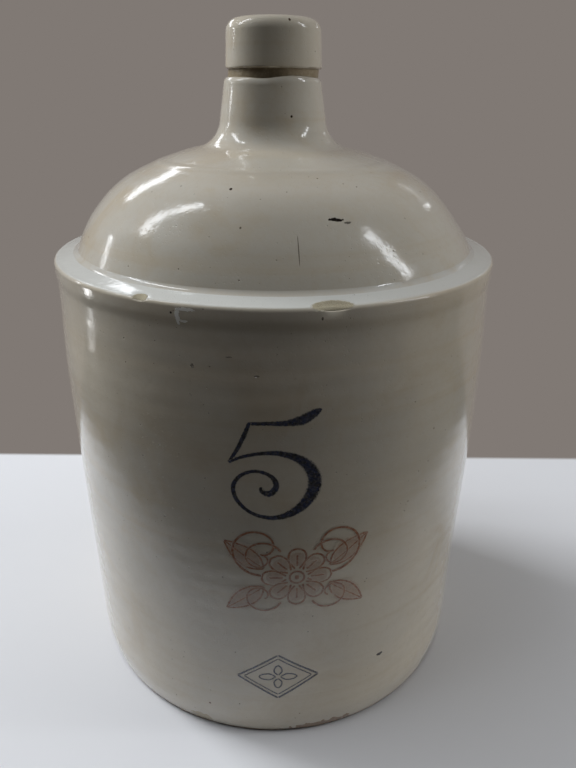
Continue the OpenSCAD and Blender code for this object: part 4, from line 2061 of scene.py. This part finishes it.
def body_glaze(form: JugForm, chips: tuple[Chip, ...]) -> Glaze:
    """Mix the wall's glaze, with a dark brown band at its bottom edge and a pale band on the ledge
    that is a painted reflection.

    Args:
        form: Outline of the jug.
        chips: Chips in the lip.

    Returns:
        The glaze.
    """
    # Dark brown band along the bottom edge, within about 3 mm of the table.
    foot = Band(0.4 * MM, 2.6 * MM, (70, 52, 34), 0.95, 0.5, 0.6)
    # The ledge's pale, slightly bluish band is a painted reflection of the bright back, laid on the
    # wall's own glaze.
    ledge = Band(form.ledge_z - 0.5 * form.ledge_rise, 0.9 * form.ledge_rise, (209, 210, 205),
                 0.9, 0.1, 1.0, 0.4)
    return Glaze(Finish.BODY_GLAZE, marks=WALL_MARKS, bands=(foot, ledge), chips=chips)


def main() -> None:
    """Build the jug and its studio, in order."""
    logging.basicConfig(level=logging.INFO)
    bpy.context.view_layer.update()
    form = JugForm.from_frame()
    part = (form, HandMarks())
    lip = form.lip_r - 0.5 * MM
    chips = (Chip(12.8, lip, form.rim_z, (0.0118, 0.0078, 0.0026), 0.9 * MM),
             Chip(-27.7, lip, form.rim_z, (0.0052, 0.0048, 0.0020), 0.8 * MM))
    body = body_glaze(form, chips)
    wall_glaze = body.make()
    slip = Glaze(Finish.INNER_SLIP, tone=(112, 78, 52), warm=(88, 58, 38), cool=(124, 92, 64),
                 rough=0.4, coat=0.2).make()
    dome_glaze = Glaze(Finish.DOME_GLAZE, tone=(202, 197, 185), marks=DOME_MARKS).make()
    # The bead's cool pale tone is partly a painted reflection of the bright back, like the ledge's
    # band.
    lute = Glaze(Finish.LUTE_GLAZE, tone=(204, 206, 203), peel=0.05 * MM).make()
    # Darker band along the collar's lower edge: painted shade under the collar's overhang.
    collar_painted_shade = Band(form.collar_z, 1.6 * MM, (120, 106, 82), 0.8, 0.5)
    collar = Glaze(Finish.COLLAR_GLAZE, tone=(202, 194, 177), marks=COLLAR_MARKS,
                   bands=(collar_painted_shade,)).make()
    strap = Glaze(Finish.HANDLE_GLAZE, tone=(201, 195, 180)).make()
    clay = BareClay().make()
    # The waist's darker brown material is painted shade in the groove under the collar, which is
    # glazed like the collar.
    waist = BareClay("waist_painted_shade", (142, 128, 104), (112, 98, 75), (162, 151, 128), 0.42).make()
    cobalt = body.make(Ink(Finish.COBALT_INK, (7, 10, 22), (24, 38, 72), 0.12))
    iron = body.make(Ink(Finish.IRON_INK, (132, 76, 46), (160, 108, 76), 0.35))

    wall = CrockWall(*part, chips)
    wall.build(wall_glaze, slip)
    floor = FloorSlab(*part)
    floor.build(clay, wall_glaze)
    floor.build_coil(slip)
    top = DomedTop(*part)
    top.build_dome(dome_glaze, slip)
    top.build_lute(lute)
    top.build_neck(dome_glaze, slip, waist)
    MouthCollar(*part).build(collar)
    StrapHandle(*part).build(strap)
    for name, slot, middle, strokes, ink in (
            ("capacity_numeral", Finish.COBALT_INK, (0.6, 225 * MM), numeral_strokes(), cobalt),
            ("blossom_print", Finish.IRON_INK, (6.3, 144.5 * MM), blossom_strokes(), iron),
            ("lozenge_print", Finish.COBALT_INK, (1.9, 57.5 * MM), lozenge_strokes(), cobalt)):
        Print(name, slot, middle, strokes).build(wall, ink)

    Studio().build()


if __name__ == "__main__":
    main()
